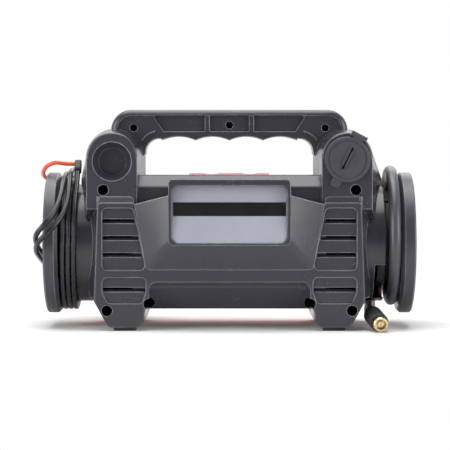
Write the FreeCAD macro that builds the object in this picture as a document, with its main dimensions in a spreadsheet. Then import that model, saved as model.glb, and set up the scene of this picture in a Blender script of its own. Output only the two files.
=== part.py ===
import FreeCAD, Part
import math
import os
import re
import Sketcher

# A portable jump starter with a built-in tyre compressor, in millimetres.
# The back, with its sloping panel, looks along -Y; +X is right as seen from the back; +Z is up.
# The origin is on the floor, under the middle of the case.

Vector = FreeCAD.Vector
Rotation = FreeCAD.Rotation
doc = FreeCAD.newDocument("jump_starter")

# Driving dimensions
SIZES = {
    # case
    "shell_wall": 3.0,
    "trunk_half": 124.0,
    "trunk_depth": 58.0,
    "belly_height": 19.0,
    "belly_half": 44.0,
    "sill_height": 40.0,
    "deck_height": 146.0,
    "deck_half": 46.0,
    "deck_edge": 134.6,
    "trunk_round": 5.0,
    "drum_height": 80.3,
    "barrel_radius": 56.5,
    "barrel_end": 148.0,
    "edge_round": 1.6,
    # columns beside the middle, each ending in a foot
    "column_depth": 70.0,
    "column_top": 120.0,
    "column_outer": 123.7,
    "column_low_outer": 127.0,
    "column_low_height": 28.0,
    "column_inner_top": 87.5,
    "column_inner_low": 77.0,
    "column_round": 6.0,
    "belly_round": 7.0,
    "corner_round": 9.5,
    "bulge_round": 11.0,
    "foot_outer": 111.2,
    "foot_inner": 85.5,
    "foot_height": 3.0,
    "band_low": 45.0,
    "band_top": 59.0,
    "flare_outer": 133.0,
    "flare_depth": 46.0,
    "flare_rise": 5.5,
    "flare_round": 7.0,
    # vent windows in the columns
    "window_outer": 119.0,
    "window_top_inner": 90.0,
    "window_low_inner": 78.0,
    "window_top": 115.0,
    "window_low": 57.0,
    "vent_top": 50.0,
    "vent_low": 25.7,
    "window_depth": 2.0,
    "slot_height": 1.5,
    "slot_pitch": 15.8,
    "first_slot": 104.0,
    "low_slot": 40.0,
    # bosses at the top corners
    "boss_centre": 110.0,
    "boss_height": 161.7,
    "boss_radius": 23.7,
    "boss_root_radius": 29.0,
    "boss_depth": 66.0,
    "boss_low": 114.0,
    "boss_waist": 142.0,
    "left_boss_spread": 143.3,
    "right_boss_spread": 147.4,
    "recess_drop": 3.2,
    "recess_mouth": 18.3,
    "recess_radius": 12.8,
    "recess_slope": 7.0,
    "recess_depth": 15.0,
    # bulge with the sloping panel
    "bulge_low_half": 76.0,
    "bulge_top_half": 86.6,
    "bulge_low": 59.5,
    "bulge_lap": 2.6,
    "bulge_top": 118.5,
    "frame_depth": 84.0,
    "frame_half": 56.7,
    "frame_low": 80.6,
    "frame_top": 141.8,
    "frame_shoulder": 127.0,
    "frame_round": 7.0,
    "panel_half": 53.6,
    "panel_low": 82.6,
    "panel_top": 136.0,
    "panel_sink": 9.0,
    "panel_thick": 2.2,
    "panel_gap": 0.25,
    "label_half": 52.3,
    "label_low": 107.8,
    "label_top": 120.5,
    "label_thick": 0.3,
    # handle
    "handle_top": 208.5,
    "handle_half": 113.8,
    "handle_corner": 20.0,
    "handle_band": 6.0,
    "handle_sink": 1.6,
    "handle_depth": 18.0,
    "handle_low": 180.8,
    "opening_half": 80.5,
    "opening_round": 13.0,
    "handle_round": 6.0,
    "pocket_low": 187.5,
    "pocket_top": 203.0,
    "pocket_depth": 4.4,
    "rib_inner": 19.0,
    "rib_outer": 23.5,
    "pocket_end": 72.0,
    "corner_rib_radius": 20.0,
    "corner_rib_half": 0.6,
    "grip_half": 63.0,
    "grip_depth": 14.0,
    "grip_low": 179.3,
    "scallop_pitch": 32.6,
    "scallop_sag": 3.6,
    # screws
    "screw_hole_radius": 5.0,
    "screw_seat": 14.0,
    "handle_screw_seat": 8.0,
    "handle_head_radius": 3.3,
    "post_radius": 7.2,
    "post_length": 14.0,
    "pilot_gap": 0.15,
    "screw_head_radius": 4.3,
    "screw_head_height": 3.2,
    "screw_shank_radius": 1.9,
    "screw_reach": 9.0,
    "boss_screw_half": 118.2,
    "boss_screw_drop": 29.9,
    "foot_screw_half": 114.6,
    "foot_screw_height": 19.0,
    "belly_screw_half": 75.6,
    "belly_screw_height": 25.3,
    "handle_screw_half": 92.0,
    "handle_screw_height": 190.9,
    "middle_screw_height": 193.7,
    # end drums
    "flange_radius": 67.8,
    "flange_inner": 161.5,
    "flange_outer": 175.0,
    "flange_chamfer": 3.3,
    "flange_dish": 2.0,
    "flange_dish_radius": 50.0,
    "spool_radius": 38.5,
    "spool_wall": 3.0,
    "flange_screw_circle": 25.0,
    "notch_inner": 137.0,
    "notch_low": 28.0,
    "notch_top": 61.0,
    "pocket_step": 141.0,
    "pocket_floor": 36.0,
    "pocket_rim_floor": 44.0,
    # feet
    "pad_half_width": 10.5,
    "pad_near": 66.0,
    "pad_far": 46.0,
    # twelve volt socket
    "socket_drop": 1.4,
    "socket_bore_radius": 10.6,
    "socket_wall": 0.8,
    "socket_length": 40.0,
    "socket_gap": 0.2,
    "socket_rim_radius": 16.5,
    "socket_rim_thick": 1.4,
    "insulator_thick": 3.0,
    "contact_radius": 3.0,
    "contact_height": 4.0,
    "contact_room": 4.6,
    "socket_bead": 0.4,
    "cap_radius": 21.4,
    "cap_thick": 3.6,
    "cap_hinge_reach": 24.0,
    "cap_tilt": 27.0,
    "cap_pin_radius": 1.6,
    # battery
    "battery_left": -106.0,
    "battery_length": 151.0,
    "battery_width": 65.0,
    "battery_height": 93.0,
    "battery_centre": -3.0,
    "terminal_height": 5.0,
    "battery_floor": 32.8,
    # compressor
    "pump_x": 70.5,
    "pump_y": -4.0,
    "arm_height": 94.0,
    "plate_start": 87.0,
    "crank_throw": 6.0,
    "crank_pin_radius": 2.5,
    "gear_left": 80.0,
    "mesh_gap": 0.3,
    "motor_radius": 18.0,
    "motor_length": 39.0,
    "motor_start": 89.0,
    "motor_height": 47.0,
    "gear_radius": 20.0,
    "gear_thick": 6.0,
    "pinion_radius": 5.0,
    "shaft_radius": 1.6,
    "cylinder_radius": 12.0,
    "cylinder_bore": 9.5,
    "fan_radius": 16.0,
    "piston_height": 102.0,
    "cylinder_top": 124.0,
    "pipe_diameter": 5.0,
    "wire_diameter": 4.0,
    # front controls
    "fascia_half": 66.0,
    "fascia_low": 44.0,
    "fascia_top": 132.0,
    "fascia_thick": 3.0,
    "fascia_round": 9.0,
    "fascia_face": 65.0,
    "fascia_gap": 0.25,
    "bezel_half": 71.0,
    "bezel_low": 39.5,
    "bezel_top": 136.5,
    "bezel_face": 66.0,
    "knob_x": -36.0,
    "knob_height": 98.0,
    "knob_radius": 17.0,
    "knob_end": 84.0,
    "knob_stem_radius": 4.0,
    "switch_back": 52.0,
    "switch_radius": 15.0,
    "run_gap": 0.08,
    "gauge_x": 30.0,
    "gauge_height": 102.0,
    "gauge_radius": 24.0,
    "gauge_back": 47.0,
    "gauge_dial": 60.0,
    "needle_length": 15.0,
    "needle_pin_radius": 1.0,
    "needle_rest": 135.0,
    "lamp_recess_radius": 20.2,
    "lamp_back": 48.0,
    "lamp_lens_thick": 2.0,
    "lamp_lens_back": 62.0,
    "lamp_gap": 0.25,
    "rocker_x": 34.0,
    "rocker_height": 60.0,
    "rocker_half": 10.0,
    "rocker_half_height": 7.0,
    "rocker_tilt": 8.0,
    "rocker_pivot": 61.0,
    "button_radius": 5.5,
    "button_height": 60.0,
    "light_button_x": -32.0,
    "test_button_x": -52.0,
    "button_travel": 1.8,
    "inlet_x": -12.0,
    "usb_port_x": 7.0,
    "lights_height": 124.0,
    "light_pitch": 7.5,
    "board_back": 49.0,
    "board_thick": 1.6,
    # clamps parked on the front
    "bar_height": 112.0,
    "bar_depth": 78.5,
    "bar_radius": 5.0,
    "bar_outer": 123.5,
    "bar_inner": 76.5,
    "lug_thick": 3.0,
    "red_clamp_x": -110.5,
    "black_clamp_x": -89.5,
    "clamp_half": 8.5,
    "clamp_ear": 1.6,
    "clamp_waist": 14.0,
    "clamp_pivot_y": 82.0,
    "clamp_pivot_z": 89.0,
    "clamp_pin_radius": 1.9,
    "clamp_end": 34.0,
    # leads and hose
    "lead_diameter": 4.7,
    "orange_diameter": 4.0,
    "lead_ring_radius": 58.2,
    "winding_radius": 61.0,
    "winding_slack": 1.5,
    "winding_start": -158.7,
    "winding_pitch": 5.15,
    "hose_diameter": 11.0,
    "hose_lane": 155.4,
    "sleeve_radius": 8.75,
    "sleeve_length": 55.0,
    "collar_length": 12.0,
    "collar_radius": 6.8,
    "collar_bore": 4.75,
    "chuck_pin_radius": 2.8,
    # small pieces and clearances
    "window_round": 5.0,
    "slot_slope": 2.8,
    "pocket_round": 2.0,
    "rib_half": 41.0,
    "boss_floor": 48.0,
    "leg_half": 20.5,
    "cap_ear_gap": 5.3,
    "cap_ear": 2.7,
    "cap_pin_rise": 3.9,
    "cap_gap": 0.3,
    "cap_ring_radius": 17.5,
    "handle_hollow_half": 74.0,
    "handle_hollow_depth": 13.0,
    "grip_gap": 0.2,
    "grip_rise": 5.0,
    "drum_screw_reach": 17.7,
    "rim_inner": 57.0,
    "web_thick": 6.0,
    "hub_radius": 19.0,
    "pad_inner": 87.5,
    "pad_width": 21.0,
    "fit_gap": 0.2,
    "ridge_half": 39.0,
    "ridge_depth": 22.0,
    "ridge_radius": 14.0,
    "ridge_rise": 1.7,
    "ridge_dip": 30.0,
    "terminal_radius": 4.0,
    "strap_left": -34.0,
    "strap_width": 16.0,
    "strap_thick": 1.5,
    "fan_start": 130.0,
    "fan_thick": 3.6,
    "plate_thick": 2.0,
    "axle_radius": 3.0,
    "rod_thick": 5.0,
    "inlet_radius": 6.0,
    "inlet_bore": 3.0,
    "usb_half": 7.5,
    "usb_half_height": 4.0,
    "light_radius": 1.6,
    "button_back": 59.8,
    "spring_radius": 3.0,
    "spring_wire": 1.0,
    "spring_lead": 1.45,
    "clip_half": 2.6,
    "clip_length": 7.0,
    "fuse_wide": 6.4,
    "fuse_deep": 8.0,
    "fuse_long": 11.5,
    "gland_half": 4.0,
    "gland_length": 8.0,
    "hose_start_radius": 44.7,
    "hose_top_radius": 69.2,
    "hose_leave_radius": 62.7,
    "hose_exit": 138.0,
    "hose_gland_half": 6.0,
    "hose_gland_length": 8.0,
}

# Heights that follow the bosses
HEIGHTS = {
    "recess_height": "=boss_height - recess_drop",
    "socket_height": "=boss_height - socket_drop",
    "boss_screw_height": "=boss_height - boss_screw_drop",
}

sheet = doc.addObject("Spreadsheet::Sheet", "dims")
for row, (alias, value) in enumerate([*SIZES.items(), *HEIGHTS.items()], start=1):
    sheet.set(f"A{row}", alias)
    sheet.set(f"B{row}", str(value))
    sheet.setAlias(f"B{row}", alias)
doc.recompute()

TURNED_TO = {
    "x": Rotation(Vector(0, 1, 0), 90),
    "y": Rotation(Vector(1, 0, 0), -90),
    "z": Rotation(),
}
DRAWN_ON = {
    "xy": Rotation(),
    "xz": Rotation(Vector(1, 0, 0), 90),
    "yz": Rotation(Vector(1, 1, 1), 120),
}
ACROSS = {"xy": "z", "xz": "y", "yz": "x"}
UNIT = {"x": Vector(1, 0, 0), "y": Vector(0, 1, 0), "z": Vector(0, 0, 1)}
pieces = []


def size(alias):
    """A driving dimension, read from the sheet."""
    return float(sheet.get(alias))


def named(text):
    """An expression in which every dimension's name points at its cell."""
    return re.sub(r"\b[a-z]+(?:_[a-z0-9]+)+\b", lambda found: "dims." + found.group(0), str(text))


def bind(item, **sizes):
    """Ties properties of an object to expressions; two underscores stand for a dot."""
    for place, text in sizes.items():
        item.setExpression(place.replace("__", "."), named(text))
    return item


def placed(item, x="0", y="0", z="0"):
    """Ties an object's place to three expressions."""
    return bind(item, Placement__Base__x=x, Placement__Base__y=y, Placement__Base__z=z)


def piece(label, item):
    """Names a finished sub-part."""
    item.Label = label
    pieces.append(item)
    return item


def block(x, y, z):
    """A box between three pairs of expressions."""
    solid = doc.addObject("Part::Box", "block")
    bind(solid, Length=f"({x[1]}) - ({x[0]})", Width=f"({y[1]}) - ({y[0]})", Height=f"({z[1]}) - ({z[0]})")
    return placed(solid, x[0], y[0], z[0])


def rod(axis, radius, centre, span):
    """A cylinder along an axis; centre is its place on the other two axes, in X, Y, Z order."""
    solid = doc.addObject("Part::Cylinder", "rod")
    solid.Placement = FreeCAD.Placement(Vector(), TURNED_TO[axis])
    bind(solid, Radius=radius, Height=f"({span[1]}) - ({span[0]})")
    place = list(centre)
    place.insert("xyz".index(axis), span[0])
    return placed(solid, *place)


def taper(axis, radii, centre, span):
    """A cone along an axis, with a radius at each end of its span."""
    solid = doc.addObject("Part::Cone", "taper")
    solid.Placement = FreeCAD.Placement(Vector(), TURNED_TO[axis])
    bind(solid, Radius1=radii[0], Radius2=radii[1], Height=f"({span[1]}) - ({span[0]})")
    place = list(centre)
    place.insert("xyz".index(axis), span[0])
    return placed(solid, *place)


def outline(sketch, points):
    """Draws a closed polygon whose corners are pairs of expressions."""
    count = len(points)
    turn = 2 * math.pi / count
    start = [Vector(50 * math.cos(turn * i), 50 * math.sin(turn * i), 0) for i in range(count)]
    for i in range(count):
        sketch.addGeometry(Part.LineSegment(start[i], start[(i + 1) % count]), False)
    for i in range(count):
        sketch.addConstraint(Sketcher.Constraint("Coincident", i, 2, (i + 1) % count, 1))
    for i, point in enumerate(points):
        for kind, here, text in zip(("DistanceX", "DistanceY"), start[i], point):
            index = sketch.addConstraint(Sketcher.Constraint(kind, -1, 1, i, 1, here))
            sketch.renameConstraint(index, f"{kind}{i}")
            sketch.setExpression(f"Constraints.{kind}{i}", named(text))
    return sketch


def drawn(plane, points, height="0"):
    """A free sketch on a plane at a height along the plane's normal."""
    sketch = doc.addObject("Sketcher::SketchObject", "outline")
    sketch.Placement = FreeCAD.Placement(Vector(), DRAWN_ON[plane])
    outline(sketch, points)
    return placed(sketch, **{ACROSS[plane]: height})


def prism(plane, points, span):
    """A solid with a drawn outline, running over a span across the plane."""
    solid = doc.addObject("Part::Extrusion", "prism")
    solid.Base = drawn(plane, points, span[0])
    solid.DirMode = "Custom"
    solid.Dir = UNIT[ACROSS[plane]]
    solid.Solid = True
    return bind(solid, LengthFwd=f"({span[1]}) - ({span[0]})")


def loft(*sections):
    """A ruled solid through sketches."""
    solid = doc.addObject("Part::Loft", "loft")
    solid.Sections = list(sections)
    solid.Solid = True
    solid.Ruled = True
    return solid


def joined(*solids):
    """Several solids as one."""
    result = doc.addObject("Part::MultiFuse", "joined")
    result.Shapes = list(solids)
    result.Refine = True
    return result


def without(base, *tools):
    """A solid with others cut away."""
    result = doc.addObject("Part::Cut", "cut")
    result.Base = base
    result.Tool = tools[0] if len(tools) == 1 else joined(*tools)
    result.Refine = True
    return result


def shared(*solids):
    """What several solids have in common."""
    result = doc.addObject("Part::MultiCommon", "shared")
    result.Shapes = list(solids)
    result.Refine = True
    return result


def group(*solids):
    """Like pieces kept as separate solids of one sub-part."""
    result = doc.addObject("Part::Compound", "set")
    result.Links = list(solids)
    return result


def mirrored(item, axis="x"):
    """The same solid on the other side of the middle."""
    result = doc.addObject("Part::Mirroring", "mirrored")
    result.Source = item
    result.Base = Vector()
    result.Normal = UNIT[axis]
    return result


def both(item):
    """A solid and its mirror image, as one tool or body."""
    return joined(item, mirrored(item))


def soften(base, radius, pick):
    """Rounds the edges that pick accepts."""
    doc.recompute()
    chosen = [i for i, edge in enumerate(base.Shape.Edges, start=1) if pick(edge)]
    result = doc.addObject("Part::Fillet", "rounded")
    result.Base = base
    result.Edges = [(i, radius, radius) for i in chosen]
    return result


def runs(axis):
    """Accepts straight edges along an axis."""

    def pick(edge):
        if not isinstance(edge.Curve, Part.Line):
            return False
        return abs(edge.tangentAt(edge.FirstParameter).dot(UNIT[axis])) > 0.999

    return pick


def lies(axis, at):
    """Accepts edges that lie in a plane across an axis."""

    def pick(edge):
        box = edge.BoundBox
        ends = {"x": (box.XMin, box.XMax), "y": (box.YMin, box.YMax), "z": (box.ZMin, box.ZMax)}[axis]
        return abs(ends[0] - at) < 0.02 and abs(ends[1] - at) < 0.02

    return pick


def turned(label, direction, centre, profile):
    """A turned piece: a half profile of (radius, height) corners spun about its axis."""
    body = doc.addObject("PartDesign::Body", label)
    sketch = body.newObject("Sketcher::SketchObject", label + "_profile")
    plane = next(item for item in body.Origin.OriginFeatures if item.Role == "XZ_Plane")
    sketch.AttachmentSupport = (plane, [""])
    sketch.MapMode = "FlatFace"
    outline(sketch, profile)
    spin = body.newObject("PartDesign::Revolution", label + "_spin")
    spin.Profile = sketch
    spin.ReferenceAxis = (sketch, ["V_Axis"])
    spin.Angle = 360
    body.Placement = FreeCAD.Placement(Vector(), TURNED_TO[direction])
    return placed(body, *centre)


# Case outer form, shared by the back and front shells


def trunk(inset):
    """The middle of the case: a long box with sloping upper and lower edges, drawn in by an inset."""
    half = f"trunk_depth - {inset}"
    deck = f"deck_half - {inset} * 0.5"
    belly = f"belly_half - {inset} * 0.3"
    low = f"belly_height + {inset}"
    high = f"deck_height - {inset}"
    edge = f"deck_edge - {inset} * 0.4"
    corners = [
        (f"-({belly})", low),
        (belly, low),
        (half, "sill_height"),
        (half, edge),
        (deck, high),
        (f"-({deck})", high),
        (f"-({half})", edge),
        (f"-({half})", "sill_height"),
    ]
    return prism("yz", corners, (f"-(trunk_half - {inset})", f"trunk_half - {inset}"))


def column_outline():
    """The face of one column with its foot, on the +X side."""
    return [
        ("column_outer", "column_top"),
        ("column_low_outer", "column_low_height"),
        ("foot_outer + 4.7", "foot_height + 4.8"),
        ("foot_outer", "foot_height"),
        ("foot_inner", "foot_height"),
        ("foot_inner - 5.5", "foot_height + 5.7"),
        ("foot_inner - 6.5", "belly_height"),
        ("column_inner_low - 2", "belly_height + 6"),
        ("column_inner_low - 2", "band_top - 4"),
        ("column_inner_low", "bulge_low"),
        ("column_inner_top", "column_top"),
    ]


def opposite(points):
    """The same corners on the other side of the middle, in the other order."""
    return [(f"-({x})", z) for x, z in reversed(points)]


def corner_at(half, height):
    """Accepts the edges along Y at one corner of the back's face and at its mirror image."""

    def pick(edge):
        box = edge.BoundBox
        return runs("y")(edge) and abs(abs(box.XMin) - half) < 0.1 and abs(box.ZMin - height) < 0.1

    return pick


def back_face():
    """The H-shaped face of the back: two columns with their feet, joined by a band."""
    right = column_outline()
    corners = right[:-3] + [("column_inner_low - 2", "band_low")]
    corners += opposite(corners)
    corners += [("-column_inner_top", "column_top"), ("-column_inner_low", "bulge_low")]
    corners += [("column_inner_low", "bulge_low"), ("column_inner_top", "column_top")]
    face = prism("xz", corners, ("-column_depth", "-30"))
    under = corner_at(size("column_inner_low") - 2, size("band_low"))
    over = corner_at(size("column_inner_low"), size("bulge_low"))
    face = soften(
        face,
        size("column_round") * 0.6,
        lambda edge: runs("y")(edge) and not under(edge) and not over(edge),
    )
    face = soften(face, size("belly_round"), under)
    face = soften(face, size("corner_round"), over)
    return soften(face, size("edge_round"), lies("y", -size("column_depth")))


def front_column():
    """One column of the front, from its face back into the trunk."""
    face = prism("xz", column_outline(), ("-column_depth", "-30"))
    face = soften(face, size("column_round") * 0.6, runs("y"))
    return soften(face, size("edge_round"), lies("y", -size("column_depth")))


def flare():
    """The sloping outer side and top of one column."""
    side = prism(
        "xy",
        [
            ("column_outer - 2", "-column_depth + 2"),
            ("column_outer - 0.4", "-column_depth + 2"),
            ("flare_outer", "-flare_depth"),
            ("column_outer - 6", "-flare_depth"),
        ],
        ("column_low_height + 2", "column_top + flare_rise"),
    )
    top = prism(
        "yz",
        [
            ("-column_depth + 1", "column_top - 1"),
            ("-boss_depth - 0.6", "column_top + flare_rise"),
            ("-flare_depth", "column_top + flare_rise"),
            ("-flare_depth", "column_top - 4"),
            ("-column_depth + 1", "column_top - 4"),
        ],
        ("column_inner_top + 2", "flare_outer"),
    )
    limit = prism(
        "xy",
        [
            ("column_inner_top + 1", "-column_depth"),
            ("column_outer - 0.4", "-column_depth"),
            ("column_outer - 0.4", "-column_depth + 2"),
            ("flare_outer", "-flare_depth"),
            ("column_inner_top + 1", "-flare_depth"),
        ],
        ("column_low_height", "column_top + flare_rise"),
    )
    corner = size("column_top")
    whole = block(
        ("column_inner_top", "flare_outer"),
        ("-column_depth", "-flare_depth"),
        ("column_low_height", "column_top + flare_rise"),
    )
    whole = soften(whole, size("flare_round"), lambda edge: runs("y")(edge) and edge.BoundBox.ZMin > corner)
    return shared(joined(side, top), limit, whole)


def boss(spread):
    """One top corner boss: a tapered arch whose outer side spreads down to the barrel's end."""
    nose = taper(
        "y",
        ("boss_radius", "boss_root_radius"),
        ("boss_centre", "boss_height"),
        ("-boss_depth", "0"),
    )
    nose = soften(nose, size("edge_round") * 1.2, lies("y", -size("boss_depth")))
    legs = loft(
        drawn(
            "xz",
            [
                ("boss_centre - boss_radius", "boss_low"),
                ("boss_centre + boss_radius", "boss_low"),
                ("boss_centre + boss_radius", "boss_waist"),
                ("boss_centre + boss_radius", "boss_height"),
                ("boss_centre - boss_radius", "boss_height"),
            ],
            "-boss_depth",
        ),
        drawn(
            "xz",
            [
                ("boss_centre - boss_root_radius", "boss_low - 34"),
                (spread, "boss_low - 34"),
                (spread, "boss_waist"),
                ("boss_centre + boss_root_radius - 1.6", "boss_height + 9.5"),
                ("boss_centre - boss_root_radius", "boss_height"),
            ],
            "0",
        ),
    )
    return joined(nose, legs)


def scallop_cuts():
    """The four finger hollows along the handle's lower edge."""
    radius = "((scallop_pitch / 2) ^ 2 + scallop_sag ^ 2) / (2 * scallop_sag)"
    rods = []
    for place in (-1.5, -0.5, 0.5, 1.5):
        centre = (f"scallop_pitch * {place}", f"grip_low + scallop_sag - ({radius})")
        rods.append(rod("y", radius, centre, ("-handle_depth - 1", "handle_depth + 1")))
    return joined(*rods)


def handle_face():
    """What is sunk into the back of the handle inside its rim, less a rib beside each top corner."""
    sunk = prism(
        "xz",
        [
            ("-handle_half + handle_band", "deck_height"),
            ("handle_half - handle_band", "deck_height"),
            ("handle_half - handle_band", "handle_top - handle_band"),
            ("-handle_half + handle_band", "handle_top - handle_band"),
        ],
        ("-handle_depth - 1", "-handle_depth + handle_sink"),
    )
    sunk = soften(
        sunk,
        size("handle_corner") - size("handle_band"),
        lambda edge: runs("y")(edge) and edge.BoundBox.ZMin > size("deck_height") + 1,
    )
    centre = ("opening_half - opening_round", "handle_low - opening_round")
    span = ("-handle_depth", "0")
    rib = shared(
        without(
            rod("y", "corner_rib_radius + corner_rib_half", centre, span),
            rod("y", "corner_rib_radius - corner_rib_half", centre, ("-handle_depth - 1", "1")),
        ),
        block(
            ("opening_half - opening_round + 4", "opening_half + 4"),
            span,
            ("handle_low - 2", "handle_top"),
        ),
    )
    return without(sunk, both(rib))


def handle():
    """The whole handle, front and back, as one arch on the deck."""
    arch = prism(
        "xz",
        [
            ("-handle_half", "deck_height - 6"),
            ("handle_half", "deck_height - 6"),
            ("handle_half", "handle_top"),
            ("-handle_half", "handle_top"),
        ],
        ("-handle_depth", "handle_depth"),
    )
    top = size("handle_top")
    arch = soften(
        arch,
        size("handle_corner"),
        lambda edge: runs("y")(edge) and edge.BoundBox.ZMin > top - 1,
    )
    depth = size("handle_depth")
    arch = soften(
        arch,
        size("handle_round"),
        lambda edge: (
            (lies("y", -depth)(edge) or lies("y", depth)(edge)) and edge.BoundBox.ZMax > size("deck_height")
        ),
    )
    gap = prism(
        "xz",
        [
            ("-opening_half", "deck_height - 8"),
            ("opening_half", "deck_height - 8"),
            ("opening_half", "handle_low"),
            ("-opening_half", "handle_low"),
        ],
        ("-handle_depth - 1", "handle_depth + 1"),
    )
    gap = soften(
        gap,
        size("opening_round"),
        lambda edge: runs("y")(edge) and edge.BoundBox.ZMin > size("deck_height"),
    )
    lip = block(
        ("-scallop_pitch * 2", "scallop_pitch * 2"),
        ("-handle_depth + handle_sink", "handle_depth - handle_sink"),
        ("grip_low", "handle_low + 2"),
    )
    face = handle_face()
    return without(joined(without(arch, gap), lip), scallop_cuts(), face, mirrored(face, "y"))


body_trunk = soften(trunk("0"), size("trunk_round"), runs("x"))
barrel = rod("x", "barrel_radius", ("0", "drum_height"), ("-barrel_end", "barrel_end"))
barrel = soften(
    barrel,
    size("edge_round"),
    lambda edge: lies("x", size("barrel_end"))(edge) or lies("x", -size("barrel_end"))(edge),
)
front_columns = mirrored(both(joined(front_column(), flare())), "y")
back_bosses = joined(boss("right_boss_spread"), mirrored(boss("left_boss_spread"), "x"))
outer_handle = handle()

# Case inner form

trunk_cavity = trunk("shell_wall")
barrel_cavity = rod(
    "x",
    "barrel_radius - shell_wall",
    ("0", "drum_height"),
    ("-barrel_end + shell_wall", "barrel_end - shell_wall"),
)
column_cavity = both(
    block(
        ("column_inner_top + shell_wall", "column_outer - shell_wall"),
        ("-column_depth + shell_wall + window_depth", "-trunk_depth + shell_wall + 1"),
        ("belly_height + shell_wall + 3", "column_top - shell_wall"),
    )
)
bulge_cavity = block(
    ("-frame_half + shell_wall", "frame_half - shell_wall"),
    ("-frame_depth + panel_sink + panel_thick + shell_wall", "-trunk_depth + shell_wall + 1"),
    ("frame_low + shell_wall", "frame_shoulder"),
)

# Back shell

SCREW_PLACES = [
    ("boss_screw_half", "boss_screw_height", "boss_depth"),
    ("-boss_screw_half", "boss_screw_height", "boss_depth"),
    ("foot_screw_half", "foot_screw_height", "column_depth"),
    ("-foot_screw_half", "foot_screw_height", "column_depth"),
    ("belly_screw_half", "belly_screw_height", "column_depth"),
    ("-belly_screw_half", "belly_screw_height", "column_depth"),
]
HANDLE_SCREW_PLACES = [
    ("handle_screw_half", "handle_screw_height"),
    ("0", "middle_screw_height"),
    ("-handle_screw_half", "handle_screw_height"),
]
DRUM_SCREW_PLACES = [
    (f"{side} * drum_screw_reach", f"drum_height + {up} * drum_screw_reach")
    for side in (-1, 1)
    for up in (-1, 1)
]


def skid():
    """The runner that joins a back foot to a front foot, as far as the parting plane."""
    return prism(
        "xz",
        [
            ("column_low_outer - 1.2", "column_low_height - 1"),
            ("foot_outer + 4.7", "foot_height + 4.8"),
            ("foot_outer", "foot_height"),
            ("foot_inner", "foot_height"),
            ("foot_inner - 5.5", "foot_height + 5.7"),
            ("foot_inner - 6.5", "belly_height + 5"),
        ],
        ("-42", "0"),
    )


def bulge():
    """The middle of the back: a low pyramid with a framed face."""
    foot_corners = [
        ("-bulge_low_half - bulge_lap", "bulge_low - bulge_lap"),
        ("bulge_low_half + bulge_lap", "bulge_low - bulge_lap"),
        ("bulge_top_half + bulge_lap", "bulge_top"),
        ("-bulge_top_half - bulge_lap", "bulge_top"),
    ]
    face_corners = [
        ("-frame_half", "frame_low"),
        ("frame_half", "frame_low"),
        ("frame_half", "frame_shoulder"),
        ("-frame_half", "frame_shoulder"),
    ]
    pyramid = loft(
        drawn("xz", face_corners, "-frame_depth"),
        drawn("xz", foot_corners, "-column_depth + 0.3"),
    )
    base = prism("xz", foot_corners, ("-column_depth + 0.3", "-30"))
    round_low = size("frame_round")
    shoulder = size("frame_shoulder")
    pyramid = soften(
        pyramid,
        size("bulge_round"),
        lambda edge: edge.BoundBox.YLength > 1 and edge.BoundBox.ZMax < shoulder - 20,
    )
    frame = block(
        ("-frame_half", "frame_half"),
        ("-frame_depth", "-deck_half"),
        ("frame_low", "frame_top"),
    )
    frame = soften(frame, round_low, lambda edge: runs("y")(edge) and edge.BoundBox.ZMax < shoulder)
    frame = soften(frame, round_low * 0.6, lambda edge: runs("y")(edge) and edge.BoundBox.ZMax > shoulder)
    return joined(pyramid, base, frame)


def panel_profile(front, back, gap):
    """The side outline of the sloping panel or of its seat; flush below and sunk at the top."""
    return [
        (f"-frame_depth + 0.8 + {front}", f"panel_low + {gap}"),
        (f"-frame_depth + panel_sink + {front}", f"panel_top - {gap}"),
        (f"-frame_depth + panel_sink + {back}", f"panel_top - {gap}"),
        (f"-frame_depth + 0.8 + {back}", f"panel_low + {gap}"),
    ]


def windows():
    """The sunk vent windows of one column and the slots through them."""
    depth = ("-column_depth - 1", "-column_depth + window_depth")
    upper = prism(
        "xz",
        [
            ("window_low_inner", "window_low"),
            ("window_outer", "window_low"),
            ("window_outer", "window_top"),
            ("window_top_inner", "window_top"),
        ],
        depth,
    )
    lower = prism(
        "xz",
        [
            ("window_low_inner + 4", "vent_low"),
            ("window_outer - 5", "vent_low"),
            ("window_outer", "vent_top - 14"),
            ("window_outer", "vent_top"),
            ("window_low_inner", "vent_top"),
            ("window_low_inner", "vent_top - 14"),
        ],
        depth,
    )
    cuts = [soften(upper, size("window_round"), runs("y")), soften(lower, size("window_round"), runs("y"))]
    lean = "(window_top_inner - window_low_inner) / (window_top - window_low)"
    slots = []
    for count in (0, 1, 2):
        height = f"first_slot - slot_pitch * {count}"
        slots.append((height, f"window_low_inner + ({height} - window_low) * {lean} + 0.6"))
    slots.append(("low_slot", "window_low_inner + 0.6"))
    seat = "-column_depth + window_depth"
    for height, inner in slots:
        louvre = [
            (f"{seat} - 0.1", f"{height} + slot_height / 2"),
            (f"{seat} + shell_wall + 0.4", f"{height} + slot_height / 2"),
            (f"{seat} + shell_wall + 0.4", f"{height} - slot_height / 2"),
            (f"{seat} - 0.1", f"{height} - slot_height / 2 - slot_slope"),
        ]
        cuts.append(prism("yz", louvre, (inner, "window_outer - 0.6")))
    return both(joined(*cuts))


def handle_pockets():
    """The three shallow pockets in the back of the handle."""
    depth = ("-handle_depth - 1", "-handle_depth + pocket_depth")
    middle = block(("-rib_inner", "rib_inner"), depth, ("pocket_low", "pocket_top"))
    middle = soften(middle, size("pocket_round"), runs("y"))
    side = prism(
        "xz",
        [
            ("rib_outer", "pocket_low"),
            ("pocket_end - 9", "pocket_low"),
            ("pocket_end", "pocket_top - 2"),
            ("pocket_end - 2", "pocket_top"),
            ("rib_outer", "pocket_top"),
        ],
        depth,
    )
    return joined(middle, both(side))


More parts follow.
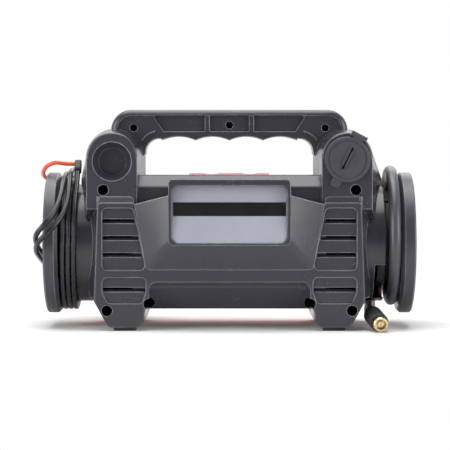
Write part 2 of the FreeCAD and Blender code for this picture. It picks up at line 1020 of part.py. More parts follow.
def screw_posts(span):
    """The posts inside one shell that take the case screws."""
    posts = [rod("y", "post_radius", (x, z), span) for x, z, face in SCREW_PLACES]
    posts += [rod("y", "post_radius - 1", (x, z), span) for x, z in HANDLE_SCREW_PLACES]
    return joined(*posts)


def back_holes():
    """The deep screw wells of the back shell and the shank holes at their ends."""
    hole = "screw_shank_radius + pilot_gap"
    holes = []
    for x, z, face in SCREW_PLACES:
        holes.append(rod("y", "screw_hole_radius", (x, z), (f"-{face} - 1", "-screw_seat")))
        holes.append(rod("y", hole, (x, z), ("-screw_seat - 1", "1")))
    for x, z in HANDLE_SCREW_PLACES:
        seat = ("-handle_depth - 1", "-handle_screw_seat")
        holes.append(rod("y", "handle_head_radius + fit_gap", (x, z), seat))
        holes.append(rod("y", hole, (x, z), ("-handle_screw_seat - 1", "1")))
    return joined(*holes)


def drum_screw_holes():
    """The holes through both barrel ends for the screws of the drums."""
    holes = []
    for y, z in DRUM_SCREW_PLACES:
        holes.append(
            rod("x", "screw_shank_radius + pilot_gap", (y, z), ("barrel_end - 8", "barrel_end + 1")),
        )
    return both(joined(*holes))


def battery_ribs():
    """The cradle ribs under the battery."""
    ribs = []
    for share in (0.05, 0.32, 0.64, 0.93):
        left = f"battery_left + battery_length * {share}"
        ribs.append(
            block(
                (left, f"{left} + shell_wall"),
                ("-rib_half", "rib_half"),
                ("belly_height + 1", "battery_floor"),
            ),
        )
    return joined(*ribs)


def boss_hollow():
    """The space inside one back boss and its legs."""
    hollow = taper(
        "y",
        ("boss_radius - 1.6", "boss_root_radius - shell_wall"),
        ("boss_centre", "boss_height"),
        ("-boss_floor", "0"),
    )
    legs = block(
        ("boss_centre - leg_half", "boss_centre + leg_half"),
        ("-boss_floor", "0"),
        ("boss_low + 12", "boss_height"),
    )
    return joined(hollow, legs)


def cap_ears():
    """The two ears of the socket cap's hinge, in the cap's own upright frame."""
    ears = joined(
        block(
            ("cap_ear_gap", "cap_ear_gap + cap_ear"),
            ("-boss_depth - 6", "-boss_depth + 2"),
            ("cap_hinge_reach - 2.6", "cap_hinge_reach + 2.6"),
        ),
        block(
            ("-cap_ear_gap - cap_ear", "-cap_ear_gap"),
            ("-boss_depth - 6", "-boss_depth + 2"),
            ("cap_hinge_reach - 2.6", "cap_hinge_reach + 2.6"),
        ),
    )
    ears = soften(ears, 2.4, lambda edge: runs("x")(edge) and edge.BoundBox.YMax < -size("boss_depth") - 5)
    hole = rod("x", "cap_pin_radius", ("-boss_depth - cap_pin_rise", "cap_hinge_reach"), ("-12", "12"))
    return leaned(without(ears, hole))


def leaned(item):
    """Turns a piece drawn upright about the socket's axis and puts it over the socket."""
    item.Placement = FreeCAD.Placement(Vector(), Rotation(Vector(0, 1, 0), size("cap_tilt")))
    return bind(item, Placement__Base__x="boss_centre", Placement__Base__z="socket_height")


hinge_tool = shared(cap_ears(), block(("-200", "200"), ("-90", "0"), ("0", "300")))
back_half = block(("-200", "200"), ("-200", "0"), ("-10", "300"))
half_core = joined(body_trunk, barrel, outer_handle)
back_outer = joined(
    shared(half_core, back_half),
    back_face(),
    both(flare()),
    back_bosses,
    both(skid()),
    bulge(),
)
handle_hollow = block(
    ("-handle_hollow_half", "handle_hollow_half"),
    ("-handle_hollow_depth", "handle_hollow_depth"),
    ("pocket_low + shell_wall", "handle_top - shell_wall"),
)
grip_slot = block(
    ("-grip_half - grip_gap", "grip_half + grip_gap"),
    ("-1", "grip_depth + grip_gap"),
    ("grip_low - 1", "handle_low + grip_rise + grip_gap"),
)
cavity = joined(
    trunk_cavity,
    barrel_cavity,
    column_cavity,
    bulge_cavity,
    both(boss_hollow()),
    handle_hollow,
)

left_recess = joined(
    taper(
        "y",
        ("recess_mouth", "recess_radius"),
        ("-boss_centre", "recess_height"),
        ("-boss_depth", "-boss_depth + recess_slope"),
    ),
    rod(
        "y",
        "recess_radius",
        ("-boss_centre", "recess_height"),
        ("-boss_depth + recess_slope - 0.1", "-boss_depth + recess_depth"),
    ),
)
socket_well = rod(
    "y",
    "socket_bore_radius + socket_wall + socket_gap",
    ("boss_centre", "socket_height"),
    ("-boss_depth - 1", "-boss_floor + 1"),
)
panel_seat = soften(
    prism("yz", panel_profile("-12", "panel_thick + 0.1", "0"), ("-panel_half", "panel_half")),
    size("frame_round"),
    runs("y"),
)
pocket_mouth = without(
    block(("notch_inner", "barrel_end + 1"), ("-barrel_radius - 2", "0"), ("notch_low", "notch_top")),
    rod("x", "pocket_floor", ("0", "drum_height"), ("notch_inner - 1", "pocket_step")),
    rod("x", "pocket_rim_floor", ("0", "drum_height"), ("pocket_step - 0.1", "barrel_end + 2")),
)
pocket_liner = shared(
    block(
        ("notch_inner - shell_wall", "barrel_end - 1"),
        ("-barrel_radius", "0"),
        ("notch_low - shell_wall", "notch_top + shell_wall"),
    ),
    without(
        rod("x", "barrel_radius - 1", ("0", "drum_height"), ("notch_inner - shell_wall", "barrel_end - 1")),
        rod(
            "x",
            "pocket_floor - shell_wall",
            ("0", "drum_height"),
            ("notch_inner - shell_wall - 1", "barrel_end + 1"),
        ),
    ),
)
back_solid = joined(
    without(back_outer, cavity),
    shared(screw_posts(("-column_depth", "0")), back_outer),
    shared(battery_ribs(), back_half),
    pocket_liner,
    hinge_tool,
)
back_shell = piece(
    "back_shell",
    without(
        back_solid,
        back_holes(),
        drum_screw_holes(),
        left_recess,
        socket_well,
        panel_seat,
        windows(),
        handle_pockets(),
        pocket_mouth,
        block(("-200", "200"), ("0", "200"), ("-10", "300")),
    ),
)
back_panel = piece(
    "back_panel",
    soften(
        prism(
            "yz",
            panel_profile("0", "panel_thick", "panel_gap"),
            ("-panel_half + panel_gap", "panel_half - panel_gap"),
        ),
        size("frame_round") - size("panel_gap"),
        runs("y"),
    ),
)
slope = "((panel_sink - 0.8) / (panel_top - panel_low))"
label_front = "-frame_depth + 0.8 - label_thick"
blank_label = piece(
    "blank_label",
    prism(
        "yz",
        [
            (f"{label_front} + (label_low - panel_low) * {slope}", "label_low"),
            (f"{label_front} + (label_top - panel_low) * {slope}", "label_top"),
            (f"{label_front} + label_thick + (label_top - panel_low) * {slope}", "label_top"),
            (f"{label_front} + label_thick + (label_low - panel_low) * {slope}", "label_low"),
        ],
        ("-label_half", "label_half"),
    ),
)

# Front shell


def lamp_recess():
    """The round seat of one front lamp and the hole for its wires."""
    return joined(
        rod("y", "lamp_recess_radius", ("boss_centre", "boss_height"), ("lamp_back", "boss_depth + 1")),
        rod("y", "pinion_radius", ("boss_centre", "boss_height"), ("lamp_back - 8", "lamp_back + 1")),
    )


def front_holes():
    """The pilot holes of the case screws in the front shell."""
    hole = "screw_shank_radius + pilot_gap"
    holes = [rod("y", hole, (x, z), ("-1", "screw_reach + 2")) for x, z, face in SCREW_PLACES]
    holes += [rod("y", hole, (x, z), ("-1", "screw_reach + 2")) for x, z in HANDLE_SCREW_PLACES]
    return joined(*holes)


def parking_lugs():
    """The two lugs that hold the bar on which the clamps are parked."""
    outer = block(
        ("-bar_outer", "-bar_outer + lug_thick"),
        ("column_depth - 3", "knob_end"),
        ("bar_height - 7", "bar_height + 7"),
    )
    inner = block(
        ("-bar_inner - lug_thick", "-bar_inner"),
        ("trunk_depth - 2", "knob_end"),
        ("bar_height - 7", "bar_height + 7"),
    )
    return joined(outer, inner)


def ridge():
    """The low wavy ridge along the front edge of the deck."""
    crown = shared(
        rod(
            "x",
            "ridge_radius",
            ("ridge_depth", "deck_height + ridge_rise - ridge_radius"),
            ("-ridge_half", "ridge_half"),
        ),
        block(
            ("-ridge_half", "ridge_half"),
            ("0", "deck_half"),
            ("deck_height - 1", "deck_height + ridge_rise"),
        ),
    )
    dips = [
        rod("y", "ridge_dip", (x, "deck_height + ridge_rise + ridge_dip - 1.2"), ("0", "deck_half"))
        for x in ("-18", "20")
    ]
    return without(crown, joined(*dips))


front_half = block(("-200", "200"), ("0", "200"), ("-10", "300"))
bezel = block(("-bezel_half", "bezel_half"), ("trunk_depth - 14", "bezel_face"), ("bezel_low", "bezel_top"))
bezel = soften(bezel, size("fascia_round"), runs("y"))
bezel = soften(bezel, size("edge_round"), lies("y", size("bezel_face")))
bezel_cavity = block(
    ("-fascia_half + 5", "fascia_half - 5"),
    ("trunk_depth - 16", "bezel_face + 1"),
    ("fascia_low + 5", "fascia_top - 5"),
)
bezel_cavity = soften(bezel_cavity, size("fascia_round") - 4, runs("y"))
fascia_seat = block(
    ("-fascia_half - fascia_gap", "fascia_half + fascia_gap"),
    ("fascia_face - fascia_thick", "bezel_face + 1"),
    ("fascia_low - fascia_gap", "fascia_top + fascia_gap"),
)
fascia_seat = soften(fascia_seat, size("fascia_round") - 3, runs("y"))
front_outer = joined(
    shared(half_core, front_half),
    front_columns,
    mirrored(back_bosses, "y"),
    mirrored(both(skid()), "y"),
    bezel,
)
front_cavity = joined(
    trunk_cavity,
    barrel_cavity,
    mirrored(column_cavity, "y"),
    mirrored(both(boss_hollow()), "y"),
    handle_hollow,
)
parking_bar_hole = rod(
    "x",
    "bar_radius",
    ("bar_depth", "bar_height"),
    ("-bar_outer + 1.5", "-bar_inner - 1.5"),
)
front_shell = piece(
    "front_shell",
    without(
        joined(
            without(front_outer, front_cavity),
            shared(screw_posts(("0", "column_depth - 8")), front_outer),
            shared(battery_ribs(), front_half),
            parking_lugs(),
            ridge(),
        ),
        front_holes(),
        drum_screw_holes(),
        both(lamp_recess()),
        mirrored(windows(), "y"),
        bezel_cavity,
        fascia_seat,
        parking_bar_hole,
        grip_slot,
        block(("-200", "200"), ("-200", "0"), ("-10", "300")),
    ),
)

# Screws and feet


def screw(axis, centre, seat, way, shank, head="screw_head_radius"):
    """One cross-head screw; way is -1 or 1, the side of the seat on which its head stands."""
    head_end = f"{seat} + {way} * screw_head_height"
    shank_end = f"{seat} - {way} * ({shank})"
    spans = [(seat, head_end), (shank_end, seat)]
    if way < 0:
        spans = [(head_end, seat), (seat, shank_end)]
    whole = joined(rod(axis, head, centre, spans[0]), rod(axis, "screw_shank_radius", centre, spans[1]))
    reach = {"x": ["0", *centre], "y": [centre[0], "0", centre[1]], "z": [*centre, "0"]}[axis]
    cuts = []
    for wide in [name for name in "xyz" if name != axis]:
        spans = {}
        for index, name in enumerate("xyz"):
            if name == axis:
                low, high = (head_end, f"{head_end} + 1.4") if way < 0 else (f"{head_end} - 1.4", head_end)
            else:
                half = "2.2" if name == wide else "0.45"
                low, high = f"{reach[index]} - {half}", f"{reach[index]} + {half}"
            spans[name] = (low, high)
        cuts.append(block(spans["x"], spans["y"], spans["z"]))
    return without(whole, joined(*cuts))


case_screws = piece(
    "case_screws",
    group(
        *[screw("y", (x, z), "-screw_seat", -1, "screw_seat + screw_reach") for x, z, face in SCREW_PLACES],
        *[
            screw(
                "y",
                place,
                "-handle_screw_seat",
                -1,
                "handle_screw_seat + screw_reach",
                "handle_head_radius",
            )
            for place in HANDLE_SCREW_PLACES
        ],
    ),
)


def foot_pad(near, far):
    """One rubber foot under a skid."""
    pad = block(("pad_inner", "pad_inner + pad_width"), (near, far), ("0", "foot_height"))
    return soften(pad, 0.8, lambda edge: lies("z", 0)(edge) or edge.BoundBox.ZLength > 2)


rubber_feet = piece(
    "rubber_feet",
    group(
        foot_pad("-pad_near", "-pad_far"),
        foot_pad("pad_far", "pad_near"),
        mirrored(foot_pad("-pad_near", "-pad_far")),
        mirrored(foot_pad("pad_far", "pad_near")),
    ),
)

# Handle grip

grip = block(
    ("-grip_half", "grip_half"),
    ("grip_gap", "grip_depth"),
    ("grip_low", "handle_low + grip_rise"),
)
handle_grip = piece("handle_grip", without(grip, scallop_cuts()))

# Twelve volt socket on the back of the right boss

socket_barrel = piece(
    "socket_barrel",
    turned(
        "socket_tube",
        "y",
        ("boss_centre", "-boss_depth", "socket_height"),
        [
            ("socket_bore_radius", "-socket_rim_thick"),
            ("socket_rim_radius", "-socket_rim_thick"),
            ("socket_rim_radius", "0"),
            ("socket_bore_radius + socket_wall", "0"),
            ("socket_bore_radius + socket_wall", "socket_length"),
            ("socket_bore_radius + socket_bead", "socket_length"),
            ("socket_bore_radius + socket_bead", "socket_length - contact_room"),
            ("socket_bore_radius", "socket_length - contact_room"),
        ],
    ),
)
socket_insulator = piece(
    "socket_insulator",
    turned(
        "socket_base",
        "y",
        ("boss_centre", "-boss_depth + socket_length", "socket_height"),
        [
            ("contact_radius * 0.6 + fit_gap", "0"),
            ("socket_bore_radius + socket_wall", "0"),
            ("socket_bore_radius + socket_wall", "insulator_thick"),
            ("contact_radius * 0.6 + fit_gap", "insulator_thick"),
        ],
    ),
)
socket_contact = piece(
    "socket_contact",
    turned(
        "socket_stud",
        "y",
        ("boss_centre", "-boss_depth + socket_length", "socket_height"),
        [
            ("0", "-contact_height"),
            ("contact_radius * 0.6", "-contact_height"),
            ("contact_radius", "-contact_height + 1"),
            ("contact_radius", "0"),
            ("contact_radius * 0.6", "0"),
            ("contact_radius * 0.6", "insulator_thick + 5"),
            ("0", "insulator_thick + 5"),
        ],
    ),
)
cap_back = "-boss_depth - socket_rim_thick - cap_gap"
cap_disc = rod("y", "cap_radius", ("0", "0"), (f"{cap_back} - cap_thick", cap_back))
cap_disc = soften(
    cap_disc,
    1.2,
    lies("y", -size("boss_depth") - size("socket_rim_thick") - size("cap_gap") - size("cap_thick")),
)
cap_skirt = without(
    rod("y", "cap_radius", ("0", "0"), (f"{cap_back} - 0.5", "-boss_depth - cap_gap")),
    rod("y", "socket_rim_radius + cap_gap * 2", ("0", "0"), (f"{cap_back} - 1", "0")),
)
cap_neck = block(
    ("-cap_ear_gap + fit_gap", "cap_ear_gap - fit_gap"),
    (f"{cap_back} - cap_thick", cap_back),
    ("cap_radius - 5", "cap_hinge_reach"),
)
cap_knuckle = rod(
    "x",
    "cap_pin_radius + 1",
    ("-boss_depth - cap_pin_rise", "cap_hinge_reach"),
    ("-cap_ear_gap + fit_gap", "cap_ear_gap - fit_gap"),
)
cap_tab = soften(
    block(
        ("-4.6", "4.6"),
        (f"{cap_back} - cap_thick + 0.6", f"{cap_back} - 0.8"),
        ("-cap_radius - 7", "-cap_radius + 4"),
    ),
    3,
    lambda edge: runs("y")(edge) and edge.BoundBox.ZMax < -size("cap_radius") - 5,
)
cap_groove = without(
    rod(
        "y",
        "cap_ring_radius + 0.5",
        ("0", "0"),
        (f"{cap_back} - cap_thick - 1", f"{cap_back} - cap_thick + 0.6"),
    ),
    rod(
        "y",
        "cap_ring_radius - 0.5",
        ("0", "0"),
        (f"{cap_back} - cap_thick - 1", f"{cap_back} - cap_thick + 1"),
    ),
)
cap_bore = rod(
    "x", "cap_pin_radius + run_gap", ("-boss_depth - cap_pin_rise", "cap_hinge_reach"), ("-12", "12")
)
socket_cap = piece(
    "socket_cap",
    leaned(
        without(joined(cap_disc, cap_skirt, cap_neck, cap_knuckle, cap_tab), joined(cap_groove, cap_bore)),
    ),
)
cap_pin = piece(
    "cap_pin",
    leaned(
        group(
            rod(
                "x",
                "cap_pin_radius",
                ("-boss_depth - cap_pin_rise", "cap_hinge_reach"),
                ("-cap_ear_gap - cap_ear", "cap_ear_gap + cap_ear"),
            )
        )
    ),
)

# End drums: a spool core and a flange at each side


def spool(label):
    """The cup on which the lead or the hose is wound, with posts for its screws."""
    cup = turned(
        label + "_cup",
        "x",
        ("barrel_end", "0", "drum_height"),
        [
            ("0", "0"),
            ("spool_radius", "0"),
            ("spool_radius", "flange_inner - barrel_end"),
            ("spool_radius - spool_wall", "flange_inner - barrel_end"),
            ("spool_radius - spool_wall", "spool_wall"),
            ("0", "spool_wall"),
        ],
    )
    posts = [
        rod("x", "screw_shank_radius + 2.6", (y, z), ("barrel_end + 1", "flange_inner"))
        for y, z in DRUM_SCREW_PLACES
    ]
    holes = [
        rod("x", "screw_shank_radius + pilot_gap", (y, z), ("barrel_end - 1", "flange_inner + 1"))
        for y, z in DRUM_SCREW_PLACES
    ]
    return without(joined(cup, *posts), joined(*holes))


def flange(label):
    """A drum's outer disc: a rim round a sunk web with a hub."""
    disc = turned(
        label + "_disc",
        "x",
        ("flange_inner", "0", "drum_height"),
        [
            ("0", "0"),
            ("flange_radius - flange_chamfer", "0"),
            ("flange_radius", "flange_chamfer"),
            ("flange_radius", "flange_outer - flange_inner - 1.2"),
            ("flange_radius - 1.2", "flange_outer - flange_inner"),
            ("rim_inner", "flange_outer - flange_inner"),
            ("rim_inner - 2.5", "web_thick"),
            ("hub_radius + 3", "web_thick"),
            ("hub_radius", "web_thick + 3.5"),
            ("0", "web_thick + 3.5"),
        ],
    )
    ribs = []
    for turn in range(12):
        rib = block(
            ("flange_inner + 1", "flange_inner + web_thick + 2.5"),
            ("-1", "1"),
            ("hub_radius", "rim_inner"),
        )
        rib.Placement = FreeCAD.Placement(Vector(), Rotation(Vector(1, 0, 0), 30 * turn + 15))
        out = math.radians(30 * turn + 15)
        bind(
            rib,
            Placement__Base__x="flange_inner + 1",
            Placement__Base__y=f"-{math.sin(out)} * hub_radius - {math.cos(out)}",
            Placement__Base__z=f"drum_height + {math.cos(out)} * hub_radius - {math.sin(out)}",
        )
        ribs.append(rib)
    holes = []
    for y, z in DRUM_SCREW_PLACES:
        holes.append(
            rod("x", "screw_shank_radius + pilot_gap", (y, z), ("flange_inner - 1", "flange_outer + 1")),
        )
        holes.append(
            rod(
                "x",
                "screw_head_radius + 0.3",
                (y, z),
                ("flange_inner + web_thick - screw_head_height", "flange_outer + 1"),
            )
        )
    return without(joined(disc, *ribs), joined(*holes))


spool_core = spool("spool_core")
spool_cores = piece("spool_cores", group(spool_core, mirrored(spool_core)))
right_flange = piece("right_flange", flange("right_flange"))
left_flange = piece("left_flange", mirrored(flange("left_flange")))
drum_seat = "flange_inner + web_thick - screw_head_height"
drum_screws = [
    screw("x", place, drum_seat, 1, "flange_inner + web_thick - barrel_end + 0.5")
    for place in DRUM_SCREW_PLACES
]
flange_screws = piece("flange_screws", group(*drum_screws, *[mirrored(item) for item in drum_screws]))

# Battery and its strap

battery_right = "battery_left + battery_length"
battery_front = "battery_centre + battery_width / 2"
battery_rear = "battery_centre - battery_width / 2"
battery_top = "battery_floor + battery_height"
battery_case = block(
    ("battery_left", battery_right),
    (battery_rear, battery_front),
    ("battery_floor", battery_top),
)
battery_body = soften(battery_case, 2.5, lambda edge: edge.BoundBox.ZLength > 20)
battery_terminals = [
    rod(
        "z",
        "terminal_radius",
        (x, "battery_centre"),
        (f"{battery_top} - 1", f"{battery_top} + terminal_height"),
    )
    for x in ("battery_left + 12", f"{battery_right} - 12")
]
battery = piece("battery", joined(battery_body, *battery_terminals))
strap_rear = f"{battery_rear} - fit_gap"
strap_front = f"{battery_front} + fit_gap"
battery_strap = piece(
    "battery_strap",
    prism(
        "yz",
        [
            (f"{strap_rear} - strap_thick - 4", "belly_height + shell_wall"),
            (f"{strap_rear}", "belly_height + shell_wall"),
            (f"{strap_rear}", f"{battery_top}"),
            (f"{strap_front}", f"{battery_top}"),
            (f"{strap_front}", "belly_height + shell_wall"),
            (f"{strap_front} + strap_thick + 4", "belly_height + shell_wall"),
            (f"{strap_front} + strap_thick + 4", "belly_height + shell_wall + strap_thick"),
            (f"{strap_front} + strap_thick", "belly_height + shell_wall + strap_thick"),
            (f"{strap_front} + strap_thick", f"{battery_top} + strap_thick"),
            (f"{strap_rear} - strap_thick", f"{battery_top} + strap_thick"),
            (f"{strap_rear} - strap_thick", "belly_height + shell_wall + strap_thick"),
            (f"{strap_rear} - strap_thick - 4", "belly_height + shell_wall + strap_thick"),
        ],
        ("strap_left", "strap_left + strap_width"),
    ),
)

# Compressor: motor, gears, crank, piston and cylinder

gear_height = "(motor_height + pinion_radius + gear_radius)"
pin_height = f"({gear_height} + crank_throw)"
motor_can = piece(
    "motor_can",
    turned(
        "motor_housing",
        "x",
        ("motor_start", "pump_y", "motor_height"),
        [
            ("shaft_radius + run_gap", "0"),
            ("motor_radius", "0"),
            ("motor_radius", "motor_length"),
            ("motor_radius - 4", "motor_length + 0.6"),
            ("shaft_radius + run_gap", "motor_length + 0.6"),
        ],
    ),
)
motor_shaft = piece(
    "motor_shaft",
    joined(
        rod("x", "shaft_radius", ("pump_y", "motor_height"), ("gear_left - 1", "fan_start + fan_thick")),
        rod(
            "x",
            "pinion_radius - mesh_gap / 2",
            ("pump_y", "motor_height"),
            ("gear_left - 0.5", "gear_left + gear_thick"),
        ),
    ),
)


def fan():
    """The cooling fan: a hub with seven blades on the motor's shaft."""
    parts = [rod("x", "5", ("pump_y", "motor_height"), ("fan_start", "fan_start + fan_thick"))]
    for turn in range(7):
        blade = block(("fan_start", "fan_start + fan_thick"), ("-0.8", "0.8"), ("4", "fan_radius"))
        out = 2 * math.pi * turn / 7
        blade.Placement = FreeCAD.Placement(Vector(), Rotation(Vector(1, 0, 0), math.degrees(out)))
        bind(
            blade,
            Placement__Base__x="fan_start",
            Placement__Base__y=f"pump_y - {4 * math.sin(out)} - {0.8 * math.cos(out)}",
            Placement__Base__z=f"motor_height + {4 * math.cos(out)} - {0.8 * math.sin(out)}",
        )
        parts.append(blade)
    bore = rod(
        "x",
        "shaft_radius",
        ("pump_y", "motor_height"),
        ("fan_start - 1", "fan_start + fan_thick + 1"),
    )
    return without(joined(*parts), bore)


motor_fan = piece("motor_fan", fan())
crank_gear = piece(
    "crank_gear",
    joined(
        rod(
            "x",
            "gear_radius - mesh_gap / 2",
            ("pump_y", gear_height),
            ("gear_left", "gear_left + gear_thick"),
        ),
        rod(
            "x",
            "axle_radius",
            ("pump_y", gear_height),
            ("gear_left + 1", "plate_start + plate_thick + 2"),
        ),
        rod(
            "x",
            "crank_pin_radius",
            ("pump_y", pin_height),
            ("pump_x - rod_thick / 2 - 1", "gear_left + 1"),
        ),
        rod(
            "x",
            "crank_pin_radius + 1.5",
            ("pump_y", pin_height),
            ("pump_x + rod_thick / 2 + 1", "gear_left + 1"),
        ),
    ),
)
ring_bore = "(crank_throw + crank_pin_radius + 0.4)"
connecting_rod = piece(
    "connecting_rod",
    without(
        joined(
            rod(
                "x",
                f"{ring_bore} + 3",
                ("pump_y", gear_height),
                ("pump_x - rod_thick / 2", "pump_x + rod_thick / 2"),
            ),
            block(
                ("pump_x - rod_thick / 2", "pump_x + rod_thick / 2"),
                ("pump_y - 3", "pump_y + 3"),
                (f"{gear_height} + {ring_bore}", "piston_height"),
            ),
        ),
        rod("x", ring_bore, ("pump_y", gear_height), ("pump_x - rod_thick", "pump_x + rod_thick")),
    ),
)
piston = piece(
    "piston",
    rod("z", "cylinder_bore - run_gap", ("pump_x", "pump_y"), ("piston_height", "piston_height + 9")),
)


def cylinder():
    """The finned cylinder over its bore."""
    parts = [
        rod("z", "cylinder_bore + 2", ("pump_x", "pump_y"), ("arm_height + plate_thick", "cylinder_top")),
    ]
    for fin in range(5):
        low = f"arm_height + plate_thick + 1 + {fin} * 5.2"
        parts.append(rod("z", "cylinder_radius + 2", ("pump_x", "pump_y"), (low, f"{low} + 1.6")))
    bore = rod("z", "cylinder_bore", ("pump_x", "pump_y"), ("arm_height", "cylinder_top + 1"))
    return without(joined(*parts), bore)


pump_cylinder = piece("pump_cylinder", cylinder())
cylinder_head = piece(
    "cylinder_head",
    joined(
        rod("z", "cylinder_radius + 2", ("pump_x", "pump_y"), ("cylinder_top", "cylinder_top + 8")),
        rod(
            "x",
            "pipe_diameter / 2 + 1.2",
            ("pump_y", "cylinder_top + 4"),
            ("pump_x", "pump_x + cylinder_radius + 5"),
        ),
    ),
)
pump_frame = piece(
    "pump_frame",
    without(
        joined(
            block(
                ("plate_start", "plate_start + plate_thick"),
                ("pump_y - 22", "pump_y + 22"),
                ("belly_height + shell_wall", "arm_height + plate_thick"),
            ),
            block(
                ("pump_x - 15", "plate_start + plate_thick"),
                ("pump_y - 15", "pump_y + 15"),
                ("arm_height", "arm_height + plate_thick"),
            ),
            block(
                ("plate_start", "plate_start + 18"),
                ("pump_y - 22", "pump_y + 22"),
                ("belly_height + shell_wall", "belly_height + shell_wall + plate_thick"),
            ),
        ),
        joined(
            rod(
                "z",
                "cylinder_bore + 0.5",
                ("pump_x", "pump_y"),
                ("arm_height - 1", "arm_height + plate_thick + 1"),
            ),
            rod(
                "x",
                "axle_radius + run_gap",
                ("pump_y", gear_height),
                ("plate_start - 1", "plate_start + plate_thick + 1"),
            ),
            rod(
                "x",
                "shaft_radius + 2",
                ("pump_y", "motor_height"),
                ("plate_start - 1", "plate_start + plate_thick + 1"),
            ),
        ),
    ),
)

# Front controls

fascia_holes = [
    rod(
        "y",
        "knob_stem_radius + run_gap",
        ("knob_x", "knob_height"),
        ("fascia_face - 5", "fascia_face + 1"),
    ),
    rod(
        "y",
        "gauge_radius - 2 + fit_gap",
        ("gauge_x", "gauge_height"),
        ("fascia_face - 5", "fascia_face + 1"),
    ),
    block(
        ("rocker_x - rocker_half - 2.2", "rocker_x + rocker_half + 2.2"),
        ("fascia_face - 5", "fascia_face + 1"),
        ("rocker_height - rocker_half_height - 2.2", "rocker_height + rocker_half_height + 2.2"),
    ),
    rod(
        "y",
        "button_radius + run_gap",
        ("light_button_x", "button_height"),
        ("fascia_face - 5", "fascia_face + 1"),
    ),
    rod(
        "y",
        "button_radius + run_gap",
        ("test_button_x", "button_height"),
        ("fascia_face - 5", "fascia_face + 1"),
    ),
    rod("y", "inlet_radius", ("inlet_x", "button_height"), ("fascia_face - 5", "fascia_face + 1")),
    block(
        ("usb_port_x - usb_half", "usb_port_x + usb_half"),
        ("fascia_face - 5", "fascia_face + 1"),
        ("button_height - usb_half_height", "button_height + usb_half_height"),
    ),
]
LIGHT_PLACES = [(f"knob_x + {n} * light_pitch", "lights_height") for n in (-2, -1, 0, 1, 2)]
fascia_holes += [
    rod("y", "light_radius", place, ("fascia_face - 5", "fascia_face + 1"))
    for place in LIGHT_PLACES
]
fascia_plate = block(
    ("-fascia_half", "fascia_half"),
    ("fascia_face - fascia_thick", "fascia_face"),
    ("fascia_low", "fascia_top"),
)
fascia_plate = soften(fascia_plate, size("fascia_round") - 3, runs("y"))
control_fascia = piece("control_fascia", without(fascia_plate, joined(*fascia_holes)))

knob_skirt = rod(
    "y",
    "knob_radius",
    ("knob_x", "knob_height"),
    ("fascia_face + fit_gap", "fascia_face + 6"),
)
knob_skirt = soften(knob_skirt, 1.5, lies("y", size("fascia_face") + 6))
knob_grip = block(
    ("knob_x - 4.5", "knob_x + 4.5"),
    ("fascia_face + 5", "knob_end"),
    ("knob_height - knob_radius + 1", "knob_height + knob_radius - 1"),
)
knob_grip = soften(
    knob_grip,
    2,
    lambda edge: edge.BoundBox.YMin > size("fascia_face") + 6 or runs("y")(edge),
)
main_knob = piece(
    "main_knob",
    joined(
        knob_skirt,
        knob_grip,
        rod("y", "knob_stem_radius", ("knob_x", "knob_height"), ("switch_back + 3", "fascia_face + 2")),
    ),
)
main_switch = piece(
    "main_switch",
    without(
        rod("y", "switch_radius", ("knob_x", "knob_height"), ("switch_back", "fascia_face - fascia_thick")),
        rod(
            "y",
            "knob_stem_radius + run_gap",
            ("knob_x", "knob_height"),
            ("switch_back + 2", "fascia_face"),
        ),
    ),
)
gauge_cup = turned(
    "gauge_cup",
    "y",
    ("gauge_x", "fascia_face", "gauge_height"),
    [
        ("0", "gauge_back - fascia_face"),
        ("gauge_radius - 2", "gauge_back - fascia_face"),
        ("gauge_radius - 2", "0"),
        ("gauge_radius + 0.5", "0"),
        ("gauge_radius + 0.5", "1.8"),
        ("gauge_radius - 1", "3.2"),
        ("gauge_radius - 3.5", "3.2"),
        ("gauge_radius - 3.5", "gauge_dial - fascia_face"),
        ("0", "gauge_dial - fascia_face"),
    ],
)
gauge_body = piece(
    "gauge_body",
    without(
        gauge_cup,
        rod(
            "y",
            "needle_pin_radius + run_gap",
            ("gauge_x", "gauge_height"),
            ("gauge_dial - 4", "gauge_dial + 1"),
        ),
    ),
)
needle_shape = joined(
    rod("y", "needle_pin_radius", ("0", "0"), ("gauge_dial - 3", "gauge_dial + 2")),
    rod("y", "2.6", ("0", "0"), ("gauge_dial + 1", "gauge_dial + 2.2")),
    prism(
        "xz",
        [("-1", "-5"), ("1", "-5"), ("0.35", "needle_length"), ("-0.35", "needle_length")],
        ("gauge_dial + 1", "gauge_dial + 1.8"),
    ),
)
needle_shape.Placement = FreeCAD.Placement(Vector(), Rotation(Vector(0, 1, 0), size("needle_rest")))
gauge_needle = piece("gauge_needle", placed(needle_shape, "gauge_x", "0", "gauge_height"))
gauge_lens = rod(
    "y",
    "gauge_radius - 3.5 - fit_gap / 2",
    ("gauge_x", "gauge_height"),
    ("gauge_dial + 5", "gauge_dial + 6.6"),
)
rocker_frame = piece(
    "rocker_frame",
    without(
        joined(
            block(
                ("rocker_x - rocker_half - 2", "rocker_x + rocker_half + 2"),
                ("fascia_face - 12", "fascia_face"),
                ("rocker_height - rocker_half_height - 2", "rocker_height + rocker_half_height + 2"),
            ),
            block(
                ("rocker_x - rocker_half - 3.5", "rocker_x + rocker_half + 3.5"),
                ("fascia_face", "fascia_face + 1.2"),
                ("rocker_height - rocker_half_height - 3.5", "rocker_height + rocker_half_height + 3.5"),
            ),
        ),
        joined(
            block(
                ("rocker_x - rocker_half - fit_gap", "rocker_x + rocker_half + fit_gap"),
                ("fascia_face - 10.5", "fascia_face + 2"),
                ("rocker_height - rocker_half_height - 0.4", "rocker_height + rocker_half_height + 0.4"),
            ),
            rod(
                "x",
                "1.2 + run_gap",
                ("rocker_pivot", "rocker_height"),
                ("rocker_x - rocker_half - 1.3", "rocker_x + rocker_half + 1.3"),
            ),
        ),
    ),
)
